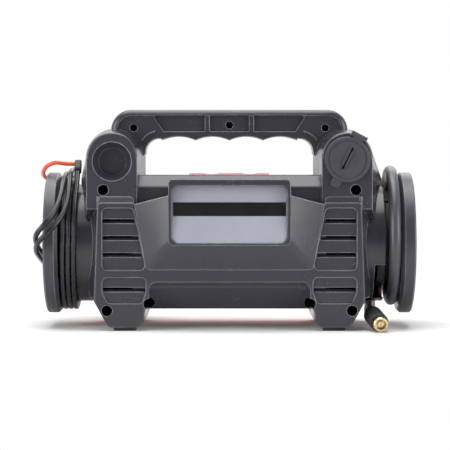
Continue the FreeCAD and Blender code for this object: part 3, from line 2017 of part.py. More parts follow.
rocker_shape = joined(
    prism(
        "yz",
        [
            ("-3.4", "-3.6"),
            ("-3.4", "3.6"),
            ("2.2", "rocker_half_height - 0.4"),
            ("5", "rocker_half_height - 0.9"),
            ("4", "0"),
            ("5", "-rocker_half_height + 0.9"),
            ("2.2", "-rocker_half_height + 0.4"),
        ],
        ("-rocker_half", "rocker_half"),
    ),
    rod("x", "1.2", ("0", "0"), ("-rocker_half - 1.1", "rocker_half + 1.1")),
)
rocker_shape.Placement = FreeCAD.Placement(Vector(), Rotation(Vector(1, 0, 0), -size("rocker_tilt")))
compressor_rocker = piece(
    "compressor_rocker",
    placed(rocker_shape, "rocker_x", "rocker_pivot", "rocker_height"),
)


def push_button(label, x):
    """A round button with a collar that keeps it behind the fascia."""
    return piece(
        label,
        joined(
            soften(
                rod("y", "button_radius", (x, "button_height"), ("button_back", "fascia_face + 3")),
                0.8,
                lies("y", size("fascia_face") + 3),
            ),
            rod("y", "button_radius + 1.5", (x, "button_height"), ("button_back", "button_back + 1.4")),
        ),
    )


light_button = push_button("light_button", "light_button_x")
test_button = push_button("test_button", "test_button_x")
charge_lights = piece(
    "charge_lights",
    group(
        *[
            rod("y", "light_radius - 0.05", place, ("fascia_face - 4", "fascia_face + 0.6"))
            for place in LIGHT_PLACES
        ],
    ),
)
charger_inlet = without(
    rod(
        "y",
        "inlet_radius - 0.05",
        ("inlet_x", "button_height"),
        ("board_back + board_thick", "fascia_face + 0.6"),
    ),
    rod("y", "inlet_bore", ("inlet_x", "button_height"), ("fascia_face - 9", "fascia_face + 1")),
)
usb_port = without(
    block(
        ("usb_port_x - usb_half + 0.05", "usb_port_x + usb_half - 0.05"),
        ("board_back + board_thick", "fascia_face + 0.4"),
        ("button_height - usb_half_height + 0.05", "button_height + usb_half_height - 0.05"),
    ),
    block(
        ("usb_port_x - usb_half + 0.9", "usb_port_x + usb_half - 0.9"),
        ("fascia_face - 9", "fascia_face + 1"),
        ("button_height - usb_half_height + 0.9", "button_height + 0.2"),
    ),
    block(
        ("usb_port_x - usb_half + 0.9", "usb_port_x + usb_half - 0.9"),
        ("fascia_face - 9", "fascia_face + 1"),
        ("button_height + 1.7", "button_height + usb_half_height - 0.9"),
    ),
)
charge_ports = piece("charge_ports", group(charger_inlet, usb_port))
board_low = "button_height - 12"
control_board = joined(
    block(
        ("test_button_x - 9", "usb_port_x + usb_half + 4"),
        ("board_back", "board_back + board_thick"),
        (board_low, "button_height + 14"),
    ),
    *[
        block(
            (f"{x} - 3", f"{x} + 3"),
            ("board_back + 1", "button_back - button_travel - 0.2"),
            ("button_height - 3", "button_height + 3"),
        )
        for x in ("light_button_x", "test_button_x")
    ],
)

# Lamps in the front bosses


def lamp_parts():
    """The board, the reflector and the lens of the right-hand lamp."""
    board = rod(
        "y",
        "lamp_recess_radius - 6",
        ("boss_centre", "boss_height"),
        ("lamp_back", "lamp_back + board_thick"),
    )
    chip = block(
        ("boss_centre - 2.5", "boss_centre + 2.5"),
        ("lamp_back + board_thick - 0.1", "lamp_back + board_thick + 1"),
        ("boss_height - 2.5", "boss_height + 2.5"),
    )
    reflector = turned(
        "lamp_cup",
        "y",
        ("boss_centre", "lamp_back + board_thick", "boss_height"),
        [
            ("4.2", "0"),
            ("5.6", "0"),
            ("lamp_recess_radius - lamp_gap", "lamp_lens_back - lamp_back - board_thick - 1"),
            ("lamp_recess_radius - lamp_gap", "lamp_lens_back - lamp_back - board_thick"),
            ("lamp_recess_radius - 2", "lamp_lens_back - lamp_back - board_thick"),
        ],
    )
    lens = rod(
        "y",
        "lamp_recess_radius - lamp_gap",
        ("boss_centre", "boss_height"),
        ("lamp_lens_back", "lamp_lens_back + lamp_lens_thick"),
    )
    return joined(board, chip), reflector, lens


lamp_board, lamp_cup, lamp_lens = lamp_parts()
circuit_boards = piece("circuit_boards", group(control_board, lamp_board, mirrored(lamp_board)))
lamp_reflectors = piece("lamp_reflectors", group(lamp_cup, mirrored(lamp_cup)))
clear_lenses = piece("clear_lenses", group(gauge_lens, lamp_lens, mirrored(lamp_lens)))

# Clamps parked on a bar at the front

parking_bar = piece(
    "parking_bar",
    rod("x", "bar_radius - fit_gap", ("bar_depth", "bar_height"), ("-bar_outer + 1.6", "-bar_inner - 1.6")),
)


def clamp(colour, x):
    """One spring clamp: the half against the case and the half that opens; gives back its pin."""
    pivot = ("clamp_pivot_y", "clamp_pivot_z")
    inner = ("clamp_half - clamp_ear - 0.3", "-clamp_half + clamp_ear + 0.3")
    back_half_shape = prism(
        "yz",
        [
            ("column_depth + 0.7", "bar_height + 10"),
            ("column_depth + 6", "bar_height + 10"),
            ("column_depth + 6", "bar_height + 7.5"),
            ("bar_depth - bar_radius - 0.2", "bar_height + 6"),
            ("bar_depth - bar_radius - 0.2", "clamp_pivot_z + 3"),
            ("column_depth + 9", "clamp_pivot_z - clamp_waist"),
            ("column_depth + 9", "clamp_end + 5"),
            ("column_depth + 6", "clamp_end"),
            ("column_depth + 2", "clamp_end"),
            ("column_depth + 0.7", "clamp_end + 5"),
        ],
        (f"{x} - clamp_half", f"{x} + clamp_half"),
    )
    ear_outline = [
        ("column_depth + 1", "clamp_pivot_z + 9"),
        ("clamp_pivot_y - 2", "clamp_pivot_z + 9"),
        ("clamp_pivot_y + 4", "clamp_pivot_z + 3"),
        ("clamp_pivot_y + 4", "clamp_pivot_z - 5"),
        ("clamp_pivot_y - 2", "clamp_pivot_z - 9"),
        ("column_depth + 1", "clamp_pivot_z - 9"),
    ]
    ears = [
        prism("yz", ear_outline, (f"{x} - clamp_half", f"{x} - clamp_half + clamp_ear")),
        prism("yz", ear_outline, (f"{x} + clamp_half - clamp_ear", f"{x} + clamp_half")),
    ]
    pin_hole = rod("x", "clamp_pin_radius", pivot, (f"{x} - 20", f"{x} + 20"))
    piece(colour + "_clamp_frame", without(joined(back_half_shape, *ears), pin_hole))
    jaw = prism(
        "yz",
        [
            ("bar_depth + 2.5", "bar_height + 10"),
            ("bar_depth + bar_radius + 2.8", "bar_height + 10"),
            ("bar_depth + bar_radius + 2.8", "clamp_pivot_z + 7"),
            ("clamp_pivot_y + 8", "clamp_pivot_z - 1"),
            ("clamp_pivot_y + 32", "clamp_end + 10"),
            ("clamp_pivot_y + 31", "clamp_end + 4"),
            ("clamp_pivot_y + 25", "clamp_end + 2"),
            ("clamp_pivot_y + 22", "clamp_end + 6"),
            ("clamp_pivot_y", "clamp_pivot_z - 9"),
            ("clamp_pivot_y - 3.5", "clamp_pivot_z - 3"),
            ("clamp_pivot_y - 3.5", "clamp_pivot_z + 3"),
            ("bar_depth + bar_radius + 0.3", "clamp_pivot_z + 8"),
            ("bar_depth + bar_radius + 0.3", "bar_height + 7"),
            ("bar_depth + 2.5", "bar_height + 7.5"),
        ],
        (f"{x} + {inner[1]}", f"{x} + {inner[0]}"),
    )
    spring_room = rod("x", "5.8", pivot, (f"{x} + 1.6", f"{x} + clamp_half"))
    loose_hole = rod("x", "clamp_pin_radius + run_gap", pivot, (f"{x} - 20", f"{x} + 20"))
    piece(colour + "_clamp_jaw", without(jaw, joined(spring_room, loose_hole)))
    return joined(
        rod("x", "clamp_pin_radius", pivot, (f"{x} - clamp_half - 0.8", f"{x} + clamp_half + 0.8")),
        rod("x", "clamp_pin_radius + 1.2", pivot, (f"{x} - clamp_half - 0.8", f"{x} - clamp_half")),
        rod("x", "clamp_pin_radius + 1.2", pivot, (f"{x} + clamp_half", f"{x} + clamp_half + 0.8")),
    )


red_pin = clamp("red", "red_clamp_x")
black_pin = clamp("black", "black_clamp_x")
clamp_pins = piece("clamp_pins", group(red_pin, black_pin))

# Leads and hose: routes of straight runs joined by arcs, and turns of a quarter circle or less


def straight(start, end):
    """One straight edge."""
    return Part.LineSegment(start, end).toShape()


def rounded_route(points):
    """Straight runs through the points, each corner rounded by an arc of 0.45 of its shorter run."""
    points = [Vector(*point) for point in points]
    edges = []
    radii = []
    here = points[0]
    for before, corner, after in zip(points, points[1:], points[2:]):
        inward = corner - before
        outward = after - corner
        turn = inward.getAngle(outward)
        reach = 0.45 * min(inward.Length, outward.Length)
        radius = reach / math.tan(turn / 2)
        inward.normalize()
        outward.normalize()
        side = (outward - inward).normalize()
        start = corner - inward * reach
        end = corner + outward * reach
        middle = corner + side * (radius / math.cos(turn / 2) - radius)
        edges.append(straight(here, start))
        edges.append(Part.Arc(start, middle, end).toShape())
        radii.append(radius)
        here = end
    edges.append(straight(here, points[-1]))
    return edges, radii


def arc_from(start, heading, end):
    """The arc that leaves a point along a heading and ends at another point."""
    chord = end - start
    across = chord - heading * chord.dot(heading)
    across.normalize()
    half = chord.getAngle(heading)
    radius = chord.Length / (2 * math.sin(half))
    centre = start + across * radius
    outward = (start + end) * 0.5 - centre
    outward.normalize()
    return Part.Arc(start, centre + outward * radius, end).toShape(), radius


def biarc(start, heading, end, last_heading):
    """Two arcs that join two points along their headings."""
    span = end - start
    both_ways = heading + last_heading
    spread = 2 * (1 - heading.dot(last_heading))
    along = span.dot(both_ways)
    if spread < 1e-9:
        reach = span.dot(span) / (4 * span.dot(last_heading))
    else:
        reach = (math.sqrt(along * along + spread * span.dot(span)) - along) / spread
    middle = (start + end + (heading - last_heading) * reach) * 0.5
    first, first_radius = arc_from(start, heading, middle)
    meeting = (middle - start - heading * reach).normalize()
    second, second_radius = arc_from(middle, meeting, end)
    return [first, second], [first_radius, second_radius]


def turns(place, marks):
    """Biarcs through a formula's places at the given marks, with headings measured on the formula."""
    step = 0.05
    edges = []
    radii = []
    for low, high in zip(marks, marks[1:]):
        starts = [place(mark) for mark in (low, high)]
        headings = [(place(mark + step) - place(mark - step)).normalize() for mark in (low, high)]
        pair, pair_radii = biarc(starts[0], headings[0], starts[1], headings[1])
        edges += pair
        radii += pair_radii
    return edges, radii


def tube(label, edges, radii, diameter):
    """Sweeps a round section along a route and reports its length, tightest bend and volume."""
    wire = Part.Wire(edges)
    first = edges[0]
    heading = first.tangentAt(first.FirstParameter)
    start = first.valueAt(first.FirstParameter)
    ring = Part.Wire(Part.makeCircle(diameter / 2, start, heading))
    solid = wire.makePipeShell([ring], True, False)
    item = doc.addObject("Part::Feature", "tube")
    item.Shape = solid
    item.Placement = FreeCAD.Placement()
    expected = math.pi * diameter * diameter / 4 * wire.Length
    print(
        f"{label}: {wire.Length:.0f} mm long, tightest bend {min(radii):.1f} mm,"
        f" volume {solid.Volume / expected:.4f} of section by length"
    )
    return item


def self_gap(label, edges, diameter):
    """Prints the least gap between stretches of a winding that lie a turn or so apart."""
    points = []
    for edge in edges:
        count = max(2, int(edge.Length / 4))
        points += [edge.valueAt(value) for value in parameters(edge, count)]
    lengths = [0.0]
    for one, other in zip(points, points[1:]):
        lengths.append(lengths[-1] + one.distanceToPoint(other))
    least = min(
        one.distanceToPoint(points[j])
        for i, one in enumerate(points)
        for j in range(i + 1, len(points))
        if lengths[j] - lengths[i] > 4 * diameter
    )
    print(f"{label}: least gap to itself {least - diameter:.2f} mm")


def parameters(edge, count):
    """Evenly spread parameters along an edge, without its last point."""
    first, last = edge.ParameterRange
    return [first + (last - first) * i / count for i in range(count)]


def around(angle, radius, x):
    """A place beside a drum: the angle goes from straight up towards the back."""
    out = math.radians(angle)
    return Vector(x, -radius * math.sin(out), size("drum_height") + radius * math.cos(out))


def seat_block(place, heading, wide, deep, long, bore):
    """A block fixed on a drum, with one face square to the cord that starts there."""
    body = doc.addObject("Part::Box", "seat_block")
    bind(body, Length=f"2 * ({wide})", Width=f"{deep[1]} - ({deep[0]})", Height=long)
    turn = Rotation(Vector(0, 0, 1), heading)
    corner = turn.multVec(Vector(-size(wide), float(deep[0]), -size(long) - 0.02))
    body.Placement = FreeCAD.Placement(place + corner, turn)
    drum = rod("x", bore, ("0", "drum_height"), ("-barrel_end - 20", "barrel_end + 20"))
    return without(body, drum)


# The lead's inner layers, one plain ring on the left core, and its outer layer, a single tube
lead_ring = without(
    rod(
        "x",
        "lead_ring_radius",
        ("0", "drum_height"),
        ("-flange_inner + cap_gap", "-barrel_end - cap_gap"),
    ),
    rod("x", "spool_radius + cap_gap", ("0", "drum_height"), ("-flange_inner - 1", "-barrel_end + 1")),
)
lead_winding_core = piece("lead_winding_core", lead_ring)
WINDING_FIRST = -140.0
WINDING_TURN = 890.0


def winding_place(turned_by):
    """The outer layer's centreline after a number of degrees."""
    angle = WINDING_FIRST - turned_by
    slack = size("winding_slack") * (1 - math.cos(math.radians(angle))) / 2
    climb = size("winding_pitch") * turned_by / 360
    return around(angle, size("winding_radius") + slack, size("winding_start") + climb)


lead_diameter = size("lead_diameter")
winding_marks = [WINDING_TURN * i / 12 for i in range(13)]
winding_edges, winding_radii = turns(winding_place, winding_marks)
winding_end = winding_edges[-1].valueAt(winding_edges[-1].LastParameter)
winding_way = (winding_place(WINDING_TURN) - winding_place(WINDING_TURN - 0.1)).normalize()
FUSE_X = -145.1
FUSE_LEAN = 50.0
fuse_way = Vector(0, math.cos(math.radians(FUSE_LEAN)), math.sin(math.radians(FUSE_LEAN)))
fuse_base = Vector(FUSE_X, -21.8, 149.6)
climb_points = [
    winding_end,
    winding_end + winding_way * 12,
    fuse_base - fuse_way * 15,
    fuse_base,
]
climb_edges, climb_radii = rounded_route([tuple(point) for point in climb_points])
winding_start = winding_place(0)
winding_heading = (winding_place(0.1) - winding_place(0)).normalize()
lead_in = straight(winding_start - winding_heading * lead_diameter, winding_start)
winding_all = [lead_in] + winding_edges + climb_edges
lead_winding = piece(
    "lead_winding",
    tube("lead_winding", winding_all, winding_radii + climb_radii, lead_diameter),
)
self_gap("lead_winding", winding_all, lead_diameter)
lead_clip = seat_block(
    winding_start - winding_heading * lead_diameter,
    winding_heading,
    "clip_half",
    ("-2.9", "4.5"),
    "clip_length",
    "lead_ring_radius + 0.05",
)
fuse = doc.addObject("Part::Box", "fuse_block")
bind(fuse, Length="fuse_wide", Width="fuse_deep", Height="fuse_long")
fuse_turn = Rotation(Vector(1, 0, 0), FUSE_LEAN - 90)
fuse_corner = fuse_turn.multVec(Vector(-size("fuse_wide") / 2, -size("fuse_deep") / 2, 0))
fuse.Placement = FreeCAD.Placement(fuse_base + fuse_corner, fuse_turn)
fuse_soft = soften(fuse, 1.5, lambda edge: edge.Length > size("fuse_deep") + 1 or edge.BoundBox.ZMin > 150)
fuse_holder = piece("fuse_holder", fuse_soft)

# The positive lead: out of the fuse holder's side, over the flange and down to the red clamp
POSITIVE_ROUTE = [
    (-148.3, -17.0, 156.4),
    (-157.5, -17.0, 156.4),
    (-167.0, -16.5, 158.2),
    (-175.5, -13.0, 154.8),
    (-180.5, -3.0, 149.0),
    (-181.0, 13.0, 144.5),
    (-178.5, 33.0, 141.5),
    (-174.5, 53.0, 138.0),
    (-171.0, 74.0, 129.5),
    (-166.5, 93.0, 111.5),
    (-160.0, 101.5, 88.0),
    (-151.5, 103.0, 63.0),
    (-139.0, 104.0, 42.0),
    (-124.0, 103.0, 23.5),
    (-114.5, 99.5, 8.0),
    (-110.5, 86.5, 3.2),
    (-110.5, 76.0, 13.0),
    (-110.5, 75.5, 34.0),
]
positive_edges, positive_radii = rounded_route(POSITIVE_ROUTE)
positive_lead = piece(
    "positive_lead",
    tube("positive_lead", positive_edges, positive_radii, size("orange_diameter")),
)

# The negative lead: from its gland over the drum and round the flange twice, then to the black clamp
NEGATIVE_ROUTE = [
    (-139.5, 59.6, 90.8),
    (-139.7, 57.0, 103.5),
    (-142.0, 53.0, 116.5),
    (-147.2, 44.5, 130.2),
    (-153.2, 29.5, 141.5),
    (-156.4, 10.0, 147.6),
    (-157.0, -14.0, 147.2),
    (-157.2, -41.0, 140.2),
    (-158.0, -60.0, 126.0),
    (-162.0, -72.5, 112.5),
    (-171.0, -79.5, 101.0),
    (-180.0, -77.0, 91.0),
    (-182.0, -62.5, 83.0),
    (-180.5, -42.0, 76.0),
    (-179.2, -14.0, 69.0),
    (-179.0, 16.0, 65.0),
    (-181.5, 44.0, 67.5),
    (-185.5, 65.0, 76.0),
    (-184.0, 80.5, 89.5),
    (-173.5, 84.5, 102.5),
    (-163.5, 79.5, 115.5),
    (-157.0, 66.5, 131.0),
    (-152.0, 46.0, 144.5),
    (-150.9, 23.0, 150.9),
    (-151.6, -2.0, 151.1),
    (-151.9, -24.0, 148.0),
    (-151.2, -44.0, 137.6),
    (-151.0, -60.5, 121.0),
    (-156.8, -72.0, 106.0),
    (-167.0, -79.2, 94.2),
    (-177.8, -78.0, 84.0),
    (-182.2, -63.5, 75.8),
    (-180.6, -42.5, 68.8),
    (-179.0, -14.0, 62.0),
    (-179.0, 16.0, 57.5),
    (-181.5, 46.0, 55.0),
    (-182.5, 70.0, 53.0),
    (-175.5, 91.0, 47.5),
    (-160.5, 105.0, 39.0),
    (-143.0, 110.5, 29.0),
    (-125.5, 110.5, 17.0),
    (-109.0, 106.0, 6.0),
    (-96.5, 96.5, 3.4),
    (-90.0, 85.0, 4.5),
    (-89.5, 76.5, 15.0),
    (-89.5, 75.5, 34.0),
]
negative_edges, negative_radii = rounded_route(NEGATIVE_ROUTE)
negative_lead = piece("negative_lead", tube("negative_lead", negative_edges, negative_radii, lead_diameter))
self_gap("negative_lead", negative_edges, lead_diameter)
lead_gland = seat_block(
    Vector(*NEGATIVE_ROUTE[0]),
    (Vector(*NEGATIVE_ROUTE[1]) - Vector(*NEGATIVE_ROUTE[0])).normalize(),
    "gland_half",
    ("-7.5", "3.4"),
    "gland_length",
    "barrel_radius + 0.05",
)

# The air hose: loose turns round the right core, a drift over the barrel, then the tail to the chuck
HOSE_FIRST = 315.0
HOSE_RISE = 315.0
HOSE_FALL = 420.0
HOSE_DRIFT = 405.0
HOSE_TURN = 465.0


def eased(value, start, end):
    """A smooth step from 0 to 1 between two marks."""
    share = min(1.0, max(0.0, (value - start) / (end - start)))
    return (1 - math.cos(math.pi * share)) / 2


def hose_place(turned_by):
    """The hose's centreline on the drum after a number of degrees."""
    radius = size("hose_start_radius")
    radius += (size("hose_top_radius") - size("hose_start_radius")) * eased(turned_by, 0, HOSE_RISE)
    radius += (size("hose_leave_radius") - size("hose_top_radius")) * eased(turned_by, HOSE_RISE, HOSE_FALL)
    drift = (size("hose_exit") - size("hose_lane")) * eased(turned_by, HOSE_DRIFT, HOSE_TURN)
    return around(HOSE_FIRST - turned_by, radius, size("hose_lane") + drift)


hose_diameter = size("hose_diameter")
hose_marks = [HOSE_RISE * i / 5 for i in range(6)] + [360.0, HOSE_DRIFT, 435.0, HOSE_TURN]
hose_edges, hose_radii = turns(hose_place, hose_marks)
hose_end = hose_edges[-1].valueAt(hose_edges[-1].LastParameter)
hose_way = (hose_place(HOSE_TURN) - hose_place(HOSE_TURN - 0.1)).normalize()
hose_first = hose_place(0)
hose_heading = (hose_place(0.1) - hose_place(0)).normalize()
CHUCK_END = Vector(139.6, -95.0, 7.95)
chuck_way = Vector(0.054, -0.995, -0.08).normalize()
chuck_start = CHUCK_END - chuck_way * (size("sleeve_length") + size("collar_length"))
tail_points = [
    tuple(hose_end),
    tuple(hose_end + hose_way * 17),
    tuple(chuck_start - chuck_way * 18),
    tuple(chuck_start),
]
tail_edges, tail_radii = rounded_route(tail_points)
hose_in = straight(hose_first - hose_heading * hose_diameter, hose_first)
hose_all = [hose_in] + hose_edges + tail_edges
air_hose = piece("air_hose", tube("air_hose", hose_all, hose_radii + tail_radii, hose_diameter))
self_gap("air_hose", hose_all, hose_diameter)
hose_gland = seat_block(
    hose_first - hose_heading * hose_diameter,
    hose_heading,
    "hose_gland_half",
    ("-6.3", "7"),
    "hose_gland_length",
    "spool_radius + 0.05",
)


cord_glands = piece("cord_glands", group(lead_clip, lead_gland, hose_gland))


def on_chuck(item, along):
    """Lines a piece drawn along +Z up with the chuck, at a distance from the sleeve's start."""
    turn = Rotation(Vector(0, 0, 1), chuck_way)
    item.Placement = FreeCAD.Placement(chuck_start + chuck_way * along, turn)
    return item


sleeve_profile = [
    ("0", "0"),
    ("sleeve_radius - 1.8", "0"),
    ("sleeve_radius - 0.6", "6"),
    ("sleeve_radius", "10"),
    ("sleeve_radius", "sleeve_length - 2"),
    ("sleeve_radius - 1", "sleeve_length"),
    ("0", "sleeve_length"),
]
chuck_sleeve = piece(
    "chuck_sleeve",
    on_chuck(group(turned("sleeve_shape", "z", ("0", "0", "0"), sleeve_profile)), 0),
)
collar_profile = [
    ("collar_bore", "0.3"),
    ("collar_radius - 0.6", "0.3"),
    ("collar_radius", "1.2"),
    ("collar_radius", "collar_length - 1"),
    ("collar_radius - 0.9", "collar_length"),
    ("collar_bore", "collar_length"),
]
chuck_collar = piece(
    "chuck_collar",
    on_chuck(group(turned("collar_shape", "z", ("0", "0", "0"), collar_profile)), size("sleeve_length")),
)
pin_profile = [
    ("0", "0"),
    ("collar_bore - run_gap", "0"),
    ("collar_bore - run_gap", "3"),
    ("chuck_pin_radius", "3"),
    ("chuck_pin_radius", "collar_length - 2.5"),
    ("0", "collar_length - 2.5"),
]
pin_body = turned("chuck_pin_shape", "z", ("0", "0", "0"), pin_profile)
pin_slot = block(("-0.5", "0.5"), ("-4", "4"), ("collar_length - 4.5", "collar_length"))
chuck_pin = piece("chuck_pin", on_chuck(without(pin_body, pin_slot), size("sleeve_length")))

# Pipe from the pump to the hose's drum, and the wires of the battery
PIPE_ROUTE = [
    (87.5, -4.0, 128.0),
    (103.0, -4.0, 128.0),
    (120.0, 4.0, 116.0),
    (127.0, 12.0, 96.0),
    (133.0, 13.0, 80.3),
    (144.9, 13.0, 80.3),
]
pipe_edges, pipe_radii = rounded_route(PIPE_ROUTE)
air_pipe = piece("air_pipe", tube("air_pipe", pipe_edges, pipe_radii, size("pipe_diameter")))
LIVE_WIRE_ROUTE = [
    (-94.0, -3.0, 130.8),
    (-94.0, -3.0, 138.5),
    (-84.0, 10.0, 139.3),
    (-60.0, 33.0, 130.0),
    (-42.0, 38.5, 112.0),
    (-36.0, 39.5, 98.0),
    (-36.0, 52.0, 98.0),
]
EARTH_WIRE_ROUTE = [
    (33.0, -3.0, 130.8),
    (33.0, -3.0, 138.5),
    (22.0, 12.0, 139.3),
    (2.0, 35.5, 131.0),
    (-4.0, 39.0, 108.0),
    (-4.0, 39.0, 84.0),
    (-4.0, 37.0, 56.0),
    (-4.0, 49.0, 56.0),
]
live_edges, live_radii = rounded_route(LIVE_WIRE_ROUTE)
earth_edges, earth_radii = rounded_route(EARTH_WIRE_ROUTE)
battery_wires = piece(
    "battery_wires",
    group(
        tube("live wire", live_edges, live_radii, size("wire_diameter")),
        tube("earth wire", earth_edges, earth_radii, size("wire_diameter")),
    ),
)


def clamp_spring(x):
    """The torsion spring round one clamp's pin."""
    reach = size("spring_radius")
    centre = Vector(0, size("clamp_pivot_y"), size("clamp_pivot_z"))

    def coil_place(turned_by):
        out = math.radians(turned_by)
        along = size(x) + 2.6 + size("spring_lead") * turned_by / 360
        return centre + Vector(along, reach * math.cos(out), reach * math.sin(out))

    edges, radii = turns(coil_place, [90 * i for i in range(9)])
    self_gap("clamp spring", edges, size("spring_wire"))
    return tube("clamp spring", edges, radii, size("spring_wire"))


clamp_springs = piece("clamp_springs", group(clamp_spring("red_clamp_x"), clamp_spring("black_clamp_x")))

doc.recompute()
failed = [item.Label for item in doc.Objects if "Invalid" in item.State or "Error" in item.State]
failed += [item.Label for item in pieces if item.Shape.isNull() or not item.Shape.isValid()]
if failed:
    raise RuntimeError("not built: " + ", ".join(failed))
os.makedirs("parts", exist_ok=True)
for item in pieces:
    print(f"{item.Label}: {len(item.Shape.Solids)} solids, {item.Shape.Volume / 1000:.1f} cm3")
    item.Shape.exportStep("parts/" + item.Label + ".step")
print(len(pieces), "sub-parts")
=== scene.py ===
import bmesh
import bpy
import math
from mathutils import Matrix, Vector


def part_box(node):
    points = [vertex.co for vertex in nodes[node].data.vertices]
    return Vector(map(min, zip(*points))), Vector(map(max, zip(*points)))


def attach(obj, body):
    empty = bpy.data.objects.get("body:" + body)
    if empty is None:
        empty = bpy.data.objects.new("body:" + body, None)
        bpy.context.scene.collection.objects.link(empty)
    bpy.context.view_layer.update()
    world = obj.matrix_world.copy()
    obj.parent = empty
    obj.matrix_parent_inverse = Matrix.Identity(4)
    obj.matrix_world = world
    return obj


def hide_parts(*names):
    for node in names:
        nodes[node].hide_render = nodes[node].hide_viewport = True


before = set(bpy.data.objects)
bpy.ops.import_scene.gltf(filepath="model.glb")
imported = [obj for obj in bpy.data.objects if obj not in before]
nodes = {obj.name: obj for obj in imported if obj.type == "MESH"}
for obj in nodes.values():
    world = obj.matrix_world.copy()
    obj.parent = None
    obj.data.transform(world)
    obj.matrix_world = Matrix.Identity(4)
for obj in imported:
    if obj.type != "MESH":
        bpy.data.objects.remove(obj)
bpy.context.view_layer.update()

# The camera stands behind the case, nearly two metres off and level with the deck,
# with a long lens, and looks down by less than two degrees.
CAMERA_PLACE = (-0.0042, -1.834, 0.1496)
CAMERA_DIP = 1.635
CAMERA_LENS = 151.36
CAMERA_SENSOR = 36.0
camera = bpy.data.objects.new("camera", bpy.data.cameras.new("camera"))
bpy.context.scene.collection.objects.link(camera)
bpy.context.scene.camera = camera
camera.data.lens = CAMERA_LENS
camera.data.sensor_width = CAMERA_SENSOR
camera.location = CAMERA_PLACE
camera.rotation_euler = (math.radians(90 - CAMERA_DIP), 0, 0)
camera.data.clip_start = 0.05
camera.data.clip_end = 20.0


# The studio: a white floor that keeps the shadow under the case and fades into a white surround.
# A broad lamp hangs above, one stands at each side, a weak one on the camera's side and one in
# front. What gloss sees of the surround darkens towards the camera's side.
SKY_DARK_SIDE = -0.9
SKY_LIGHT_SIDE = 0.5
SKY_DARKEST = 0.22
SKY_ON_MATT = 0.13
WHITE = (1, 1, 1, 1)
FLOOR_SIZE = 12
FLOOR_GREY = (0.9, 0.9, 0.9, 1)
FLOOR_GLOW = 0.06
FADE_START = 0.24
FADE_END = 0.62
LAMP_TARGET = (0, 0, 0.1)
scene = bpy.context.scene
scene.view_settings.view_transform = "Standard"


def add(tree, kind, sockets=None, **options):
    """One node in a tree, its options set, its sockets linked or filled in; a list joins into one."""
    node = tree.nodes.new(kind)
    for option, value in options.items():
        setattr(node, option, value)
    for key, value in (sockets or {}).items():
        for part in value if isinstance(value, list) else [value]:
            if isinstance(part, bpy.types.NodeSocket):
                tree.links.new(part, node.inputs[key])
            else:
                node.inputs[key].default_value = part
    return node


def calc(tree, operation, *values):
    """The result of one sum on numbers or on other nodes' values."""
    return add(tree, "ShaderNodeMath", dict(enumerate(values)), operation=operation).outputs[0]


def ranged(tree, value, low, high, to_low, to_high, smooth=False):
    """A value carried from one range to another and kept inside it."""
    sockets = {"Value": value, "From Min": low, "From Max": high, "To Min": to_low, "To Max": to_high}
    kind = "SMOOTHSTEP" if smooth else "LINEAR"
    return add(tree, "ShaderNodeMapRange", sockets, interpolation_type=kind).outputs[0]


def finish_of(name):
    """A new material: its tree and its main shader."""
    paint = bpy.data.materials.new(name)
    paint.use_nodes = True
    return paint, paint.node_tree, paint.node_tree.nodes["Principled BSDF"]


def seen_white(tree, shown, other):
    """Joins one shader for what the camera, glass and gloss see and another for all other rays."""
    path = add(tree, "ShaderNodeLightPath").outputs
    either = path["Is Camera Ray"]
    for ray in ("Is Glossy Ray", "Is Transmission Ray"):
        either = calc(tree, "MAXIMUM", either, path[ray])
    return add(tree, "ShaderNodeMixShader", {0: either, 1: other, 2: shown}).outputs[0]


scene.world = bpy.data.worlds.new("surround")
scene.world.use_nodes = True
sky = scene.world.node_tree
sky_place = add(sky, "ShaderNodeTexCoord").outputs["Generated"]
sky_way = add(sky, "ShaderNodeSeparateXYZ", {0: sky_place}).outputs["Y"]
sky_side = ranged(sky, sky_way, SKY_DARK_SIDE, SKY_LIGHT_SIDE, SKY_DARKEST, 1.0, smooth=True)
sky_camera = add(sky, "ShaderNodeLightPath").outputs["Is Camera Ray"]
white_sky = sky.nodes["Background"]
white_sky.inputs["Color"].default_value = WHITE
sky.links.new(calc(sky, "MAXIMUM", sky_side, sky_camera), white_sky.inputs["Strength"])
soft_sky = add(sky, "ShaderNodeBackground", {"Color": WHITE, "Strength": SKY_ON_MATT})
sky.links.new(
    seen_white(sky, white_sky.outputs[0], soft_sky.outputs[0]),
    sky.nodes["World Output"].inputs["Surface"],
)

bpy.ops.mesh.primitive_plane_add(size=FLOOR_SIZE)
floor = bpy.context.object
floor.name = "floor"
floor_paint, floor_tree, floor_base = finish_of("floor_paint")
floor_base.inputs["Base Color"].default_value = FLOOR_GREY
floor_base.inputs["Roughness"].default_value = 0.9
floor_base.inputs["Specular IOR Level"].default_value = 0.0
floor_glow = add(floor_tree, "ShaderNodeEmission", {"Strength": FLOOR_GLOW}).outputs[0]
floor_near = add(floor_tree, "ShaderNodeAddShader", {0: floor_base.outputs[0], 1: floor_glow}).outputs[0]
floor_far = add(floor_tree, "ShaderNodeEmission", {"Strength": 1.0}).outputs[0]
floor_place = add(floor_tree, "ShaderNodeTexCoord").outputs["Object"]
floor_reach = add(floor_tree, "ShaderNodeVectorMath", {0: floor_place}, operation="LENGTH").outputs["Value"]
floor_fade = ranged(floor_tree, floor_reach, FADE_START, FADE_END, 0.0, 1.0, smooth=True)
floor_seen = add(floor_tree, "ShaderNodeMixShader", {0: floor_fade, 1: floor_near, 2: floor_far}).outputs[0]
floor_tree.links.new(
    seen_white(floor_tree, floor_seen, floor_base.outputs[0]),
    floor_tree.nodes["Material Output"].inputs["Surface"],
)
floor.data.materials.append(floor_paint)


